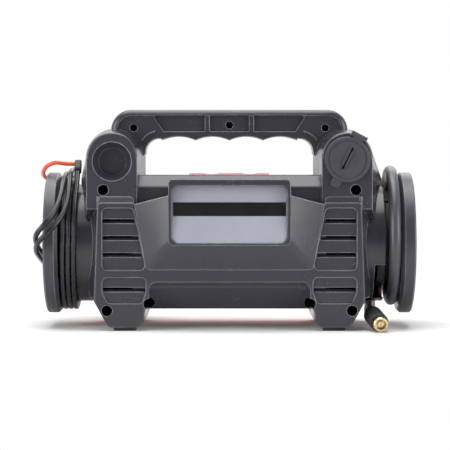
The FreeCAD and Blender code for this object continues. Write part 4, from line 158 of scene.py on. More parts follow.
def lamp(name, place, across, power):
    """A square lamp that shines from its place towards the middle of the case."""
    light = bpy.data.lights.new(name, "AREA")
    light.shape = "SQUARE"
    light.size = across
    light.energy = power
    holder = bpy.data.objects.new(name, light)
    scene.collection.objects.link(holder)
    holder.location = place
    holder.rotation_euler = (Vector(LAMP_TARGET) - Vector(place)).to_track_quat("-Z", "Y").to_euler()


lamp("lamp_over", (-0.1, 0.05, 1.4), across=1.3, power=24)
lamp("lamp_left", (-1.25, -0.75, 0.35), across=1.0, power=16)
lamp("lamp_right", (1.25, -0.75, 0.35), across=1.0, power=14)
lamp("lamp_back", (-0.2, -1.3, 1.6), across=0.7, power=3)
lamp("lamp_front", (0.3, 1.6, 1.3), across=1.2, power=7)


# The case: a dark grey back half and a red front half, each one moulding in tough plastic with
# a fine satin grain, screwed together on a seam that runs round the middle. Corners are rounded
# by about a millimetre in the shading. Along the convex edges the colour is lightened in patches
# as a painted highlight, and in creases and recesses it is darkened as painted shade.
def srgb(red, green, blue):
    """A colour given as a picture gives it, from 0 to 255, in Blender's linear values."""
    shares = []
    for value in (red, green, blue):
        share = value / 255
        shares.append(share / 12.92 if share <= 0.04045 else ((share + 0.055) / 1.055) ** 2.4)
    return (*shares, 1.0)


def blended(tree, share, first, second, how="MIX"):
    """Two colours mixed by a share."""
    node = add(tree, "ShaderNodeMix", {0: share, 6: first, 7: second}, data_type="RGBA", blend_type=how)
    return node.outputs[2]


def shader_group(name, inputs, outputs):
    """An empty shader group with its named sockets, its inner inputs and its inner outputs."""
    group = bpy.data.node_groups.new(name, "ShaderNodeTree")
    for label, value in inputs.items():
        kind = "NodeSocketColor" if isinstance(value, tuple) else "NodeSocketFloat"
        group.interface.new_socket(label, in_out="INPUT", socket_type=kind).default_value = value
    for label, kind in outputs.items():
        group.interface.new_socket(label, in_out="OUTPUT", socket_type="NodeSocket" + kind)
    inner = group.nodes.new("NodeGroupInput").outputs
    outer = group.nodes.new("NodeGroupOutput").inputs
    return group, inner, outer


def fill(group, outer, **results):
    """Links a group's results to its output sockets."""
    for label, value in results.items():
        group.links.new(value, outer[label.replace("_", " ")])


moulded_skin, skin_in, skin_out = shader_group(
    "moulded_skin",
    {
        "Plastic": srgb(78, 78, 86),
        "Edge Highlight": srgb(120, 120, 130),
        "Grain": 1500.0,
        "Corner": 0.0006,
        "Satin": 0.42,
    },
    {"Colour": "Color", "Roughness": "Float", "Height": "Float", "Normal": "Vector"},
)
skin_place = add(moulded_skin, "ShaderNodeTexCoord").outputs["Object"]
skin_grain = add(
    moulded_skin,
    "ShaderNodeTexNoise",
    {"Vector": skin_place, "Scale": skin_in["Grain"], "Detail": 2.0, "Roughness": 0.6},
).outputs[0]
skin_flow = add(
    moulded_skin, "ShaderNodeTexNoise", {"Vector": skin_place, "Scale": 11.0, "Detail": 3.0}
).outputs[0]
skin_patches = add(
    moulded_skin, "ShaderNodeTexNoise", {"Vector": skin_place, "Scale": 48.0, "Detail": 4.0}
).outputs[0]
skin_round = add(moulded_skin, "ShaderNodeBevel", {"Radius": skin_in["Corner"]}, samples=4).outputs[0]
skin_true = add(moulded_skin, "ShaderNodeNewGeometry").outputs["Normal"]
skin_dot = add(
    moulded_skin, "ShaderNodeVectorMath", {0: skin_round, 1: skin_true}, operation="DOT_PRODUCT"
).outputs["Value"]
skin_open = add(
    moulded_skin, "ShaderNodeAmbientOcclusion", {"Distance": 0.006}, samples=4, only_local=True
).outputs["AO"]
# Painted highlight: along convex edges, away from creases, the colour is lightened in patches towards the
# edge highlight colour, standing in for the light that rounded edges catch.
skin_bent = ranged(moulded_skin, skin_dot, 0.998, 0.93, 0.0, 1.0)
skin_edge = calc(moulded_skin, "MULTIPLY", skin_bent, ranged(moulded_skin, skin_open, 0.6, 0.85, 0.0, 1.0))
skin_edge_highlight = calc(moulded_skin, "MULTIPLY", skin_edge, ranged(moulded_skin, skin_patches, 0.3, 0.6, 0.55, 1.0))
skin_shade = ranged(moulded_skin, skin_flow, 0.3, 0.7, 0.93, 1.06)
skin_speck = ranged(moulded_skin, skin_grain, 0.3, 0.7, 0.95, 1.05)
skin_level = calc(moulded_skin, "MULTIPLY", skin_shade, skin_speck)
# Painted shade: where ambient occlusion finds creases and recesses the colour is darkened by up to half.
skin_crease_shade = ranged(moulded_skin, skin_open, 0.15, 0.8, 0.5, 1.0)
skin_level = calc(moulded_skin, "MULTIPLY", skin_level, skin_crease_shade)
skin_grey = add(
    moulded_skin, "ShaderNodeCombineColor", {0: skin_level, 1: skin_level, 2: skin_level}
).outputs[0]
skin_tinted = blended(moulded_skin, 1.0, skin_in["Plastic"], skin_grey, "MULTIPLY")
skin_dull = ranged(moulded_skin, skin_patches, 0.3, 0.7, -0.04, 0.05)
skin_rough = calc(moulded_skin, "ADD", skin_in["Satin"], skin_dull)
skin_rough = calc(moulded_skin, "SUBTRACT", skin_rough, calc(moulded_skin, "MULTIPLY", skin_edge_highlight, 0.1))
fill(
    moulded_skin,
    skin_out,
    Colour=blended(moulded_skin, skin_edge_highlight, skin_tinted, skin_in["Edge Highlight"]),
    Roughness=skin_rough,
    Height=skin_grain,
    Normal=skin_round,
)


def grained(tree, base, skin, depth):
    """Feeds a group's colour, roughness, grain and corners into a shader."""
    bump = add(tree, "ShaderNodeBump", {"Height": skin.outputs["Height"], "Distance": depth})
    if "Normal" in skin.outputs:
        tree.links.new(skin.outputs["Normal"], bump.inputs["Normal"])
    tree.links.new(skin.outputs["Colour"], base.inputs["Base Color"])
    tree.links.new(skin.outputs["Roughness"], base.inputs["Roughness"])
    tree.links.new(bump.outputs[0], base.inputs["Normal"])


def moulded(name, plastic, edge_highlight, satin=0.42, grain=1500.0, depth=0.000006, corner=0.0011):
    """A moulded plastic with its grain, a painted highlight along its edges, painted shade in its creases
    and its satin.
    """
    paint, tree, base = finish_of(name)
    skin = add(tree, "ShaderNodeGroup", node_tree=moulded_skin)
    skin.inputs["Plastic"].default_value = plastic
    skin.inputs["Edge Highlight"].default_value = edge_highlight
    skin.inputs["Grain"].default_value = grain
    skin.inputs["Corner"].default_value = corner
    skin.inputs["Satin"].default_value = satin
    grained(tree, base, skin, depth)
    base.inputs["IOR"].default_value = 1.5
    return paint


def dress(paint, *names):
    """Gives one finish to several pieces of the frame."""
    for name in names:
        slots = nodes[name].data.materials
        slots.clear()
        slots.append(paint)


# Each moulded finish's second colour is its painted highlight along the edges.
case_grey = moulded("case_grey", srgb(48, 48, 55), srgb(170, 170, 180), satin=0.24)
case_red = moulded("case_red", srgb(182, 38, 26), srgb(222, 92, 70), satin=0.28)
dress(case_grey, "back_shell")
dress(case_red, "front_shell")


# The sloping panel in the back is a separate plate in a lighter grey with a coarser sand-blast
# grain, snapped in behind the frame. A plain black film strip is stuck across it.
panel_grey = moulded(
    "panel_grey", srgb(156, 158, 171), srgb(206, 208, 218), satin=0.36, grain=1050.0, depth=0.00003
)
strip_black = moulded(
    "strip_black",
    srgb(16, 16, 18),
    srgb(70, 70, 75),
    satin=0.30,
    grain=2600.0,
    depth=0.000004,
    corner=0.0002,
)
dress(panel_grey, "back_panel")
dress(strip_black, "blank_label")


# Soft rubber parts: four feet pressed into the skids, and the red grip pad let into the front
# half of the handle. Rubber is matt, with a fine skin and a little dust on whatever faces up.
rubber_skin, rubber_in, rubber_out = shader_group(
    "rubber_skin",
    {"Rubber": srgb(34, 34, 38), "Dust": srgb(96, 94, 92), "Dusty": 0.25, "Grain": 2200.0, "Matt": 0.62},
    {"Colour": "Color", "Roughness": "Float", "Height": "Float"},
)
rubber_place = add(rubber_skin, "ShaderNodeTexCoord").outputs["Object"]
rubber_grain = add(
    rubber_skin, "ShaderNodeTexNoise", {"Vector": rubber_place, "Scale": rubber_in["Grain"], "Detail": 3.0}
).outputs[0]
rubber_cloud = add(
    rubber_skin,
    "ShaderNodeTexNoise",
    {"Vector": rubber_place, "Scale": 60.0, "Detail": 5.0, "Roughness": 0.65},
).outputs[0]
rubber_up = add(
    rubber_skin,
    "ShaderNodeSeparateXYZ",
    {0: add(rubber_skin, "ShaderNodeNewGeometry").outputs["Normal"]},
).outputs["Z"]
rubber_top = ranged(rubber_skin, rubber_up, -0.2, 0.9, 0.15, 1.0)
rubber_patch = ranged(rubber_skin, rubber_cloud, 0.35, 0.7, 0.0, 1.0)
rubber_cover = calc(rubber_skin, "MULTIPLY", rubber_top, rubber_patch)
rubber_dust = calc(rubber_skin, "MULTIPLY", rubber_cover, rubber_in["Dusty"])
rubber_tone = ranged(rubber_skin, rubber_grain, 0.3, 0.7, 0.9, 1.1)
rubber_grey = add(
    rubber_skin, "ShaderNodeCombineColor", {0: rubber_tone, 1: rubber_tone, 2: rubber_tone}
).outputs[0]
rubber_matt = ranged(rubber_skin, rubber_cloud, 0.3, 0.7, -0.06, 0.06)
fill(
    rubber_skin,
    rubber_out,
    Colour=blended(
        rubber_skin,
        rubber_dust,
        blended(rubber_skin, 1.0, rubber_in["Rubber"], rubber_grey, "MULTIPLY"),
        rubber_in["Dust"],
    ),
    Roughness=calc(rubber_skin, "ADD", rubber_in["Matt"], rubber_matt),
    Height=rubber_grain,
)


def rubbery(name, rubber, dust, dusty=0.25, grain=2200.0, matt=0.62, depth=0.00002):
    """A soft rubber with its skin and its dust."""
    paint, tree, base = finish_of(name)
    skin = add(tree, "ShaderNodeGroup", node_tree=rubber_skin)
    skin.inputs["Rubber"].default_value = rubber
    skin.inputs["Dust"].default_value = dust
    skin.inputs["Dusty"].default_value = dusty
    skin.inputs["Grain"].default_value = grain
    skin.inputs["Matt"].default_value = matt
    grained(tree, base, skin, depth)
    return paint


foot_rubber = rubbery("foot_rubber", srgb(40, 40, 43), srgb(110, 106, 100), dusty=0.4, matt=0.75)
grip_rubber = rubbery("grip_rubber", srgb(160, 38, 28), srgb(190, 90, 74), dusty=0.2, matt=0.66)
dress(foot_rubber, "rubber_feet")
dress(grip_rubber, "handle_grip")


# Bare metal: dark zinc screws, a nickelled socket, turned brass, cast and drawn alloy. Each has fine
# tool marks, a little tarnish in patches and edges rounded off in its shading.
worked_metal, metal_in, metal_out = shader_group(
    "worked_metal",
    {
        "Metal": srgb(150, 150, 154),
        "Tarnish": srgb(84, 80, 78),
        "Tarnished": 0.3,
        "Marks": 900.0,
        "Polish": 0.28,
    },
    {"Colour": "Color", "Roughness": "Float", "Height": "Float", "Normal": "Vector"},
)
metal_place = add(worked_metal, "ShaderNodeTexCoord").outputs["Object"]
metal_marks = add(
    worked_metal, "ShaderNodeTexNoise", {"Vector": metal_place, "Scale": metal_in["Marks"], "Detail": 2.0}
).outputs[0]
metal_cloud = add(
    worked_metal,
    "ShaderNodeTexNoise",
    {"Vector": metal_place, "Scale": 130.0, "Detail": 5.0, "Roughness": 0.6},
).outputs[0]
metal_spread = calc(
    worked_metal, "MULTIPLY", ranged(worked_metal, metal_cloud, 0.38, 0.7, 0.0, 1.0), metal_in["Tarnished"]
)
metal_wear = ranged(worked_metal, metal_marks, 0.3, 0.7, -0.07, 0.07)
metal_dull = calc(worked_metal, "ADD", metal_in["Polish"], metal_wear)
fill(
    worked_metal,
    metal_out,
    Colour=blended(worked_metal, metal_spread, metal_in["Metal"], metal_in["Tarnish"]),
    Roughness=calc(worked_metal, "ADD", metal_dull, calc(worked_metal, "MULTIPLY", metal_spread, 0.25)),
    Height=metal_marks,
    Normal=add(worked_metal, "ShaderNodeBevel", {"Radius": 0.0003}, samples=4).outputs[0],
)


def metallic(name, metal, tarnish, tarnished=0.3, marks=900.0, polish=0.28, depth=0.000006):
    """A bare or plated metal with its tool marks and tarnish."""
    paint, tree, base = finish_of(name)
    skin = add(tree, "ShaderNodeGroup", node_tree=worked_metal)
    skin.inputs["Metal"].default_value = metal
    skin.inputs["Tarnish"].default_value = tarnish
    skin.inputs["Tarnished"].default_value = tarnished
    skin.inputs["Marks"].default_value = marks
    skin.inputs["Polish"].default_value = polish
    grained(tree, base, skin, depth)
    base.inputs["Metallic"].default_value = 1.0
    return paint


# Pan-head steel screws. Nine near-black ones, deep in wells in the back, hold the case halves
# together; their near-black is partly their own dark finish and partly painted shade for those
# deep wells. Four dark zinc-plated ones with cross recesses hold each flange to its drum.
SCREW_HEAD = 0.0043
SCREW_HEAD_HEIGHT = 0.0032
SCREW_SHANK = 0.0019
SCREW_OFFSET = 0.0177
SHANK_END = 0.1415
HEAD_TAPER = 0.78
RECESS_LENGTH = 1.15
RECESS_WIDTH = 0.26
RECESS_DEPTH = 1.2
SHANK_DROP = -0.499
DRUM_MIDDLE = 80.3


def geometry_tree(name, inputs):
    """An empty geometry tree with its named inputs."""
    tree = bpy.data.node_groups.new(name, "GeometryNodeTree")
    tree.interface.new_socket("Geometry", in_out="INPUT", socket_type="NodeSocketGeometry")
    for label, kind in inputs.items():
        tree.interface.new_socket(label, in_out="INPUT", socket_type="NodeSocket" + kind)
    tree.interface.new_socket("Geometry", in_out="OUTPUT", socket_type="NodeSocketGeometry")
    return tree, tree.nodes.new("NodeGroupInput").outputs, tree.nodes.new("NodeGroupOutput").inputs


def facing(tree, inner, thing):
    """A thing at each of a tree's loose points, turned the way its point faces."""
    way = add(tree, "GeometryNodeInputNamedAttribute", {"Name": "way"}, data_type="FLOAT_VECTOR")
    turn = add(tree, "FunctionNodeAlignRotationToVector", {"Vector": way.outputs[0]}, axis="Z")
    sockets = {"Points": inner["Geometry"], "Instance": thing, "Rotation": turn.outputs[0]}
    return add(tree, "GeometryNodeInstanceOnPoints", sockets).outputs[0]


def finished(tree, inner, outer, instances):
    """Makes a tree's instances real, gives them their finish and hands them out."""
    real = add(tree, "GeometryNodeRealizeInstances", {"Geometry": instances}).outputs[0]
    sockets = {"Geometry": real, "Material": inner["Finish"]}
    tree.links.new(add(tree, "GeometryNodeSetMaterial", sockets).outputs[0], outer["Geometry"])


screw_tree, screw_in, screw_out = geometry_tree(
    "cross_head_screws",
    {
        "Head Radius": "Float",
        "Head Height": "Float",
        "Shank Radius": "Float",
        "Shank Length": "Float",
        "Finish": "Material",
    },
)
screw_head = add(
    screw_tree,
    "GeometryNodeMeshCone",
    {
        "Vertices": 28,
        "Side Segments": 1,
        "Fill Segments": 1,
        "Radius Bottom": screw_in["Head Radius"],
        "Radius Top": calc(screw_tree, "MULTIPLY", screw_in["Head Radius"], HEAD_TAPER),
        "Depth": screw_in["Head Height"],
    },
).outputs["Mesh"]
recess_lift = add(screw_tree, "ShaderNodeCombineXYZ", {2: screw_in["Head Height"]}).outputs[0]
recess_deep = calc(screw_tree, "MULTIPLY", screw_in["Head Height"], RECESS_DEPTH)
recess_bars = []
for recess_shares in ((RECESS_LENGTH, RECESS_WIDTH), (RECESS_WIDTH, RECESS_LENGTH)):
    sides = [calc(screw_tree, "MULTIPLY", screw_in["Head Radius"], share) for share in recess_shares]
    bar = add(screw_tree, "ShaderNodeCombineXYZ", {0: sides[0], 1: sides[1], 2: recess_deep}).outputs[0]
    box = add(screw_tree, "GeometryNodeMeshCube", {"Size": bar}).outputs["Mesh"]
    raised = add(screw_tree, "GeometryNodeTransform", {"Geometry": box, "Translation": recess_lift})
    recess_bars.append(raised.outputs[0])
screw_cut = add(
    screw_tree,
    "GeometryNodeMeshBoolean",
    {"Mesh 1": screw_head, "Mesh 2": recess_bars},
    operation="DIFFERENCE",
    solver="EXACT",
).outputs["Mesh"]
screw_shank = add(
    screw_tree,
    "GeometryNodeMeshCylinder",
    {"Vertices": 16, "Radius": screw_in["Shank Radius"], "Depth": screw_in["Shank Length"]},
).outputs["Mesh"]
shank_drop = calc(screw_tree, "MULTIPLY", screw_in["Shank Length"], SHANK_DROP)
shank_place = add(screw_tree, "ShaderNodeCombineXYZ", {2: shank_drop}).outputs[0]
screw_down = add(
    screw_tree, "GeometryNodeTransform", {"Geometry": screw_shank, "Translation": shank_place}
).outputs[0]
one_screw = add(screw_tree, "GeometryNodeJoinGeometry", {"Geometry": [screw_cut, screw_down]}).outputs[0]
finished(screw_tree, screw_in, screw_out, facing(screw_tree, screw_in, one_screw))


def points_of(name, spots):
    """Loose points, each with the way it faces, for a geometry tree to build on."""
    mesh = bpy.data.meshes.new(name)
    mesh.from_pydata([place for place, way in spots], [], [])
    ways = mesh.attributes.new("way", "FLOAT_VECTOR", "POINT")
    for entry, (place, way) in zip(ways.data, spots):
        entry.vector = way
    holder = bpy.data.objects.new(name, mesh)
    scene.collection.objects.link(holder)
    return holder


def grown(holder, tree, values):
    """Runs a geometry tree on an object with its named inputs and keeps the result as a plain mesh."""
    modifier = holder.modifiers.new("tree", "NODES")
    modifier.node_group = tree
    for item in tree.interface.items_tree:
        if item.in_out == "INPUT" and item.name in values:
            modifier[item.identifier] = values[item.name]
    return settled(holder)


def settled(holder, sharp=32.0):
    """Turns an object and its modifiers into a plain mesh, smooth but for its sharp edges."""
    bpy.context.view_layer.update()
    graph = bpy.context.evaluated_depsgraph_get()
    mesh = bpy.data.meshes.new_from_object(holder.evaluated_get(graph))
    holder.modifiers.clear()
    holder.data = mesh
    mesh.shade_smooth()
    mesh.set_sharp_from_angle(angle=math.radians(sharp))
    return holder


screw_zinc = metallic("screw_zinc", srgb(92, 92, 98), srgb(44, 43, 44), tarnished=0.6, polish=0.36)
# Painted shade: the case screws' near-black colour partly stands in for the shade deep in their wells.
screw_dark_and_shade = metallic("screw_dark_and_shade", srgb(20, 20, 22), srgb(9, 9, 10), tarnished=0.6, polish=0.5)


def screws(name, spots, head_radius, shank_length):
    """One piece with a cross-head screw at each spot."""
    values = {
        "Head Radius": head_radius,
        "Head Height": SCREW_HEAD_HEIGHT,
        "Shank Radius": SCREW_SHANK,
        "Shank Length": shank_length,
        "Finish": screw_zinc,
    }
    return grown(points_of(name, spots), screw_tree, values)


dress(screw_dark_and_shade, "case_screws")
screw_height = DRUM_MIDDLE / 1000
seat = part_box("flange_screws")[1].x - SCREW_HEAD_HEIGHT
flange_spots = []
for side in (-1, 1):
    for back in (-1, 1):
        for up in (-1, 1):
            place = (side * seat, back * SCREW_OFFSET, screw_height + up * SCREW_OFFSET)
            flange_spots.append((place, (side, 0, 0)))
flange_screws = screws("drum_screws", flange_spots, SCREW_HEAD, seat - SHANK_END)
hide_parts("flange_screws")
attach(flange_screws, "case")


# The twelve volt socket: a nickelled barrel pressed into the right boss, a black insulator at its
# bottom and a sprung centre contact. A rubber cap on a pin at its upper right covers it, with a
# grooved ring, a pull tab at the lower left and a plain raised bar to press on.
CAP_BAR_PLACE = (0.110, -0.0716, 0.1612)
CAP_BAR_LEAN = 27.0
CAP_BAR_SIZE = (0.0066, 0.0022, 0.023)
CAP_BAR_SOFT = 0.0007
BAR_END_ROUND = 0.48
nickel = metallic(
    "nickel", srgb(214, 211, 202), srgb(150, 142, 128), tarnished=0.25, marks=1600.0, polish=0.16
)
insulator_black = moulded("insulator_black", srgb(38, 38, 40), srgb(66, 66, 68), satin=0.5)
cap_rubber = rubbery("cap_rubber", srgb(54, 54, 61), srgb(108, 108, 116), dusty=0.2, grain=1700.0, matt=0.50)
dress(nickel, "socket_barrel", "socket_contact")
dress(insulator_black, "socket_insulator")
dress(cap_rubber, "socket_cap", "cap_pin")


def bar_relief(name, place, lean, size, soft):
    """A rounded bar raised on a face that looks to the back, leaning by an angle."""
    form = bmesh.new()
    bmesh.ops.create_cube(form, size=1)
    bmesh.ops.scale(form, verts=form.verts, vec=size)
    upright = [edge for edge in form.edges if abs(edge.verts[0].co.y - edge.verts[1].co.y) > size[1] / 2]
    bmesh.ops.bevel(form, geom=upright, offset=size[0] * BAR_END_ROUND, segments=8, affect="EDGES")
    rim = [edge for edge in form.edges if all(vert.co.y < 0 for vert in edge.verts)]
    bmesh.ops.bevel(form, geom=rim, offset=soft, segments=3, affect="EDGES")
    bmesh.ops.rotate(form, verts=form.verts, matrix=Matrix.Rotation(math.radians(lean), 3, "Y"))
    bmesh.ops.translate(form, verts=form.verts, vec=place)
    bmesh.ops.recalc_face_normals(form, faces=form.faces)
    mesh = bpy.data.meshes.new(name)
    form.to_mesh(mesh)
    form.free()
    mesh.shade_smooth()
    mesh.set_sharp_from_angle(angle=math.radians(40))
    holder = bpy.data.objects.new(name, mesh)
    scene.collection.objects.link(holder)
    return holder


cap_bar = bar_relief("cap_bar", CAP_BAR_PLACE, CAP_BAR_LEAN, CAP_BAR_SIZE, CAP_BAR_SOFT)
cap_bar.data.materials.append(cap_rubber)
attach(cap_bar, "cap")


# The two end drums: a hollow core at the end of the case and a broad ribbed flange, screwed on, that
# keeps the lead or the hose on it. The core is moulded in black and the flange in the case's grey.
drum_grey = moulded("drum_grey", srgb(50, 50, 57), srgb(140, 140, 150), satin=0.34)
dress(drum_grey, "left_flange", "right_flange")
dress(insulator_black, "spool_cores")
# Leads and hose, each one length of rubber-covered cord, drawn on one smooth line in millimetres.
# The positive lead's black stretch is wound on the left drum and ends in a fuse holder, the negative
# lead hangs loose over that winding, and the hose is wound on the right drum.
LEAD = 4.7
WINDING_START = -140.0
WINDING_END = 890.0
WINDING_RADIUS = 61.0
WINDING_SLACK = 1.5
WINDING_X = -158.7
WINDING_PITCH = 5.15
WINDING_RUN_OUT = 12
FUSE_RUN_IN = 15
SHORT_TURN = 0.1
FUSE_LEAN = math.radians(50.0)
FUSE_BASE = Vector((-145.1, -21.8, 149.6))


def around(angle, radius, x):
    """A place beside a drum, in millimetres: the angle goes from straight up towards the back."""
    out = math.radians(angle)
    return Vector((x, -radius * math.sin(out), DRUM_MIDDLE + radius * math.cos(out)))


def turn_points(place, last, step=15.0):
    """Control points every 15 degrees, set out so that the line between them keeps its radius."""
    widen = 1 / math.cos(math.radians(step / 2))
    count = round(last / step)
    spots = [place(last * i / count) for i in range(count + 1)]
    return [Vector((p.x, p.y * widen, DRUM_MIDDLE + (p.z - DRUM_MIDDLE) * widen)) for p in spots]


def twin_outline(radius, steps=32, swell=1.03, groove=0.30, groove_width=0.42):
    """The outline of a twin lead: a circle with a rounded groove along both sides."""
    outline = bpy.data.curves.new("twin_outline", "CURVE")
    rim = outline.splines.new("POLY")
    rim.points.add(steps - 1)
    for count, point in enumerate(rim.points):
        turned_by = 2 * math.pi * count / steps
        dip = groove * max(0.0, 1 - abs(math.cos(turned_by)) / groove_width)
        out = radius * (swell - dip)
        point.co = (out * math.cos(turned_by), out * math.sin(turned_by), 0, 1)
    rim.use_cyclic_u = True
    shape = bpy.data.objects.new("twin_outline", outline)
    scene.collection.objects.link(shape)
    shape.hide_render = True
    return shape


def cord_line(name, points, diameter, paint, outline=None):
    """A smooth cord along points in millimetres, round or with an outline of its own."""
    curve = bpy.data.curves.new(name, "CURVE")
    curve.dimensions = "3D"
    spline = curve.splines.new("NURBS")
    spline.points.add(len(points) - 1)
    for spot, point in zip(spline.points, points):
        spot.co = (*(Vector(point) / 1000), 1)
    spline.order_u = 3
    spline.use_endpoint_u = True
    spline.resolution_u = 8
    if outline:
        curve.bevel_mode = "OBJECT"
        curve.bevel_object = outline
    curve.bevel_depth = diameter / 2000
    curve.bevel_resolution = 5
    curve.use_fill_caps = True
    curve.materials.append(paint)
    line = bpy.data.objects.new(name, curve)
    scene.collection.objects.link(line)
    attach(line, "case")
    return line


lead_rubber = rubbery(
    "lead_rubber", srgb(22, 22, 28), srgb(84, 84, 92), dusty=0.1, grain=1500.0, matt=0.25, depth=0.000006
)
orange_rubber = rubbery(
    "orange_rubber", srgb(226, 82, 34), srgb(236, 132, 92), dusty=0.15, grain=1500.0, matt=0.38
)
hose_rubber = rubbery(
    "hose_rubber", srgb(62, 62, 69), srgb(98, 98, 106), dusty=0.15, grain=1300.0, matt=0.33, depth=0.00001
)


def winding_place(turned_by):
    """A place on the wound lead, a little slacker below the drum than above it."""
    angle = WINDING_START - turned_by
    slack = WINDING_SLACK * (1 - math.cos(math.radians(angle))) / 2
    return around(angle, WINDING_RADIUS + slack, WINDING_X + WINDING_PITCH * turned_by / 360)


winding_last = winding_place(WINDING_END)
winding_in = (winding_place(SHORT_TURN) - winding_place(0)).normalized()
winding_way = (winding_last - winding_place(WINDING_END - SHORT_TURN)).normalized()
fuse_way = Vector((0, math.cos(FUSE_LEAN), math.sin(FUSE_LEAN)))
winding_points = [winding_place(0) - winding_in * LEAD]
winding_points += turn_points(winding_place, WINDING_END)
winding_out = winding_last + winding_way * WINDING_RUN_OUT
winding_points += [winding_out, FUSE_BASE - fuse_way * FUSE_RUN_IN, FUSE_BASE]
twin = twin_outline(LEAD / 2000)
lead_winding = cord_line("black_lead_winding", winding_points, LEAD, lead_rubber, twin)
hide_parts("lead_winding")

positive_points = [
    (-148.3, -17.0, 156.4),
    (-157.5, -17.0, 156.4),
    (-167.0, -16.5, 158.2),
    (-175.5, -13.0, 154.8),
    (-180.5, -3.0, 149.0),
    (-181.0, 13.0, 144.5),
    (-178.5, 33.0, 141.5),
    (-174.5, 53.0, 138.0),
    (-171.0, 74.0, 129.5),
    (-166.5, 93.0, 111.5),
    (-160.0, 101.5, 88.0),
    (-151.5, 103.0, 63.0),
    (-139.0, 104.0, 42.0),
    (-124.0, 103.0, 23.5),
    (-114.5, 99.5, 8.0),
    (-110.5, 86.5, 3.2),
    (-110.5, 76.0, 13.0),
    (-110.5, 75.5, 34.0),
]
positive_lead = cord_line("orange_lead", positive_points, 4.0, orange_rubber)
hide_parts("positive_lead")

negative_points = [
    (-139.5, 59.6, 90.8),
    (-139.7, 57.0, 103.5),
    (-142.0, 53.0, 116.5),
    (-147.2, 44.5, 130.2),
    (-153.2, 29.5, 141.5),
    (-156.4, 10.0, 147.6),
    (-157.0, -14.0, 147.2),
    (-157.2, -41.0, 140.2),
    (-158.0, -60.0, 126.0),
    (-162.0, -72.5, 112.5),
    (-171.0, -79.5, 101.0),
    (-180.0, -77.0, 91.0),
    (-182.0, -62.5, 83.0),
    (-180.5, -42.0, 76.0),
    (-179.2, -14.0, 69.0),
    (-179.0, 16.0, 65.0),
    (-181.5, 44.0, 67.5),
    (-185.5, 65.0, 76.0),
    (-184.0, 80.5, 89.5),
    (-173.5, 84.5, 102.5),
    (-163.5, 79.5, 115.5),
    (-157.0, 66.5, 131.0),
    (-152.0, 46.0, 144.5),
    (-150.9, 23.0, 150.9),
    (-151.6, -2.0, 151.1),
    (-151.9, -24.0, 148.0),
    (-151.2, -44.0, 137.6),
    (-151.0, -60.5, 121.0),
    (-156.8, -72.0, 106.0),
    (-167.0, -79.2, 94.2),
    (-177.8, -78.0, 84.0),
    (-182.2, -63.5, 75.8),
    (-180.6, -42.5, 68.8),
    (-179.0, -14.0, 62.0),
    (-179.0, 16.0, 57.5),
    (-181.5, 46.0, 55.0),
    (-182.5, 70.0, 53.0),
    (-175.5, 91.0, 47.5),
    (-160.5, 105.0, 39.0),
    (-143.0, 110.5, 29.0),
    (-125.5, 110.5, 17.0),
    (-109.0, 106.0, 6.0),
    (-96.5, 96.5, 3.4),
    (-90.0, 85.0, 4.5),
    (-89.5, 76.5, 15.0),
    (-89.5, 75.5, 34.0),
]
negative_lead = cord_line("black_lead", negative_points, LEAD, lead_rubber, twin)
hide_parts("negative_lead")

HOSE = 11.0
HOSE_START = 315.0
HOSE_END = 465.0
HOSE_RADIUS = 44.7
HOSE_RISE = 24.5
HOSE_RISE_END = 315.0
HOSE_DIP = 6.5
HOSE_DIP_END = 420.0
HOSE_X = 155.4
HOSE_SHIFT = 17.4
HOSE_SHIFT_START = 405.0
CHUCK_LENGTH = 67.0
HOSE_RUN_OUT = 17
CHUCK_RUN_IN = 18


def hose_eased(turned_by, start, end):
    """A share that goes softly from 0 to 1 between two angles."""
    share = min(1.0, max(0.0, (turned_by - start) / (end - start)))
    return (1 - math.cos(math.pi * share)) / 2


def hose_place(turned_by):
    """A place on the hose: out from its gland, once over the drum, then inwards to its tail."""
    rise = HOSE_RISE * hose_eased(turned_by, 0, HOSE_RISE_END)
    dip = HOSE_DIP * hose_eased(turned_by, HOSE_RISE_END, HOSE_DIP_END)
    shift = HOSE_SHIFT * hose_eased(turned_by, HOSE_SHIFT_START, HOSE_END)
    return around(HOSE_START - turned_by, HOSE_RADIUS + rise - dip, HOSE_X - shift)


hose_last = hose_place(HOSE_END)
hose_in = (hose_place(SHORT_TURN) - hose_place(0)).normalized()
hose_way = (hose_last - hose_place(HOSE_END - SHORT_TURN)).normalized()
chuck_end = Vector((139.6, -95.0, 7.95))
chuck_way = Vector((0.054, -0.995, -0.08)).normalized()
chuck_start = chuck_end - chuck_way * CHUCK_LENGTH
hose_points = [hose_place(0) - hose_in * HOSE]
hose_points += turn_points(hose_place, HOSE_END)
hose_out = hose_last + hose_way * HOSE_RUN_OUT
hose_points += [hose_out, chuck_start - chuck_way * CHUCK_RUN_IN, chuck_start]
air_hose = cord_line("black_air_hose", hose_points, HOSE, hose_rubber)
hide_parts("air_hose")

brass = metallic("brass", srgb(222, 204, 160), srgb(150, 126, 84), tarnished=0.45, marks=1100.0, polish=0.22)
gland_black = rubbery("gland_black", srgb(36, 36, 40), srgb(96, 94, 92), matt=0.55)
dress(insulator_black, "fuse_holder")
dress(gland_black, "cord_glands", "chuck_sleeve")
dress(brass, "chuck_collar", "chuck_pin")
dress(hose_rubber, "air_pipe")
dress(lead_rubber, "battery_wires")


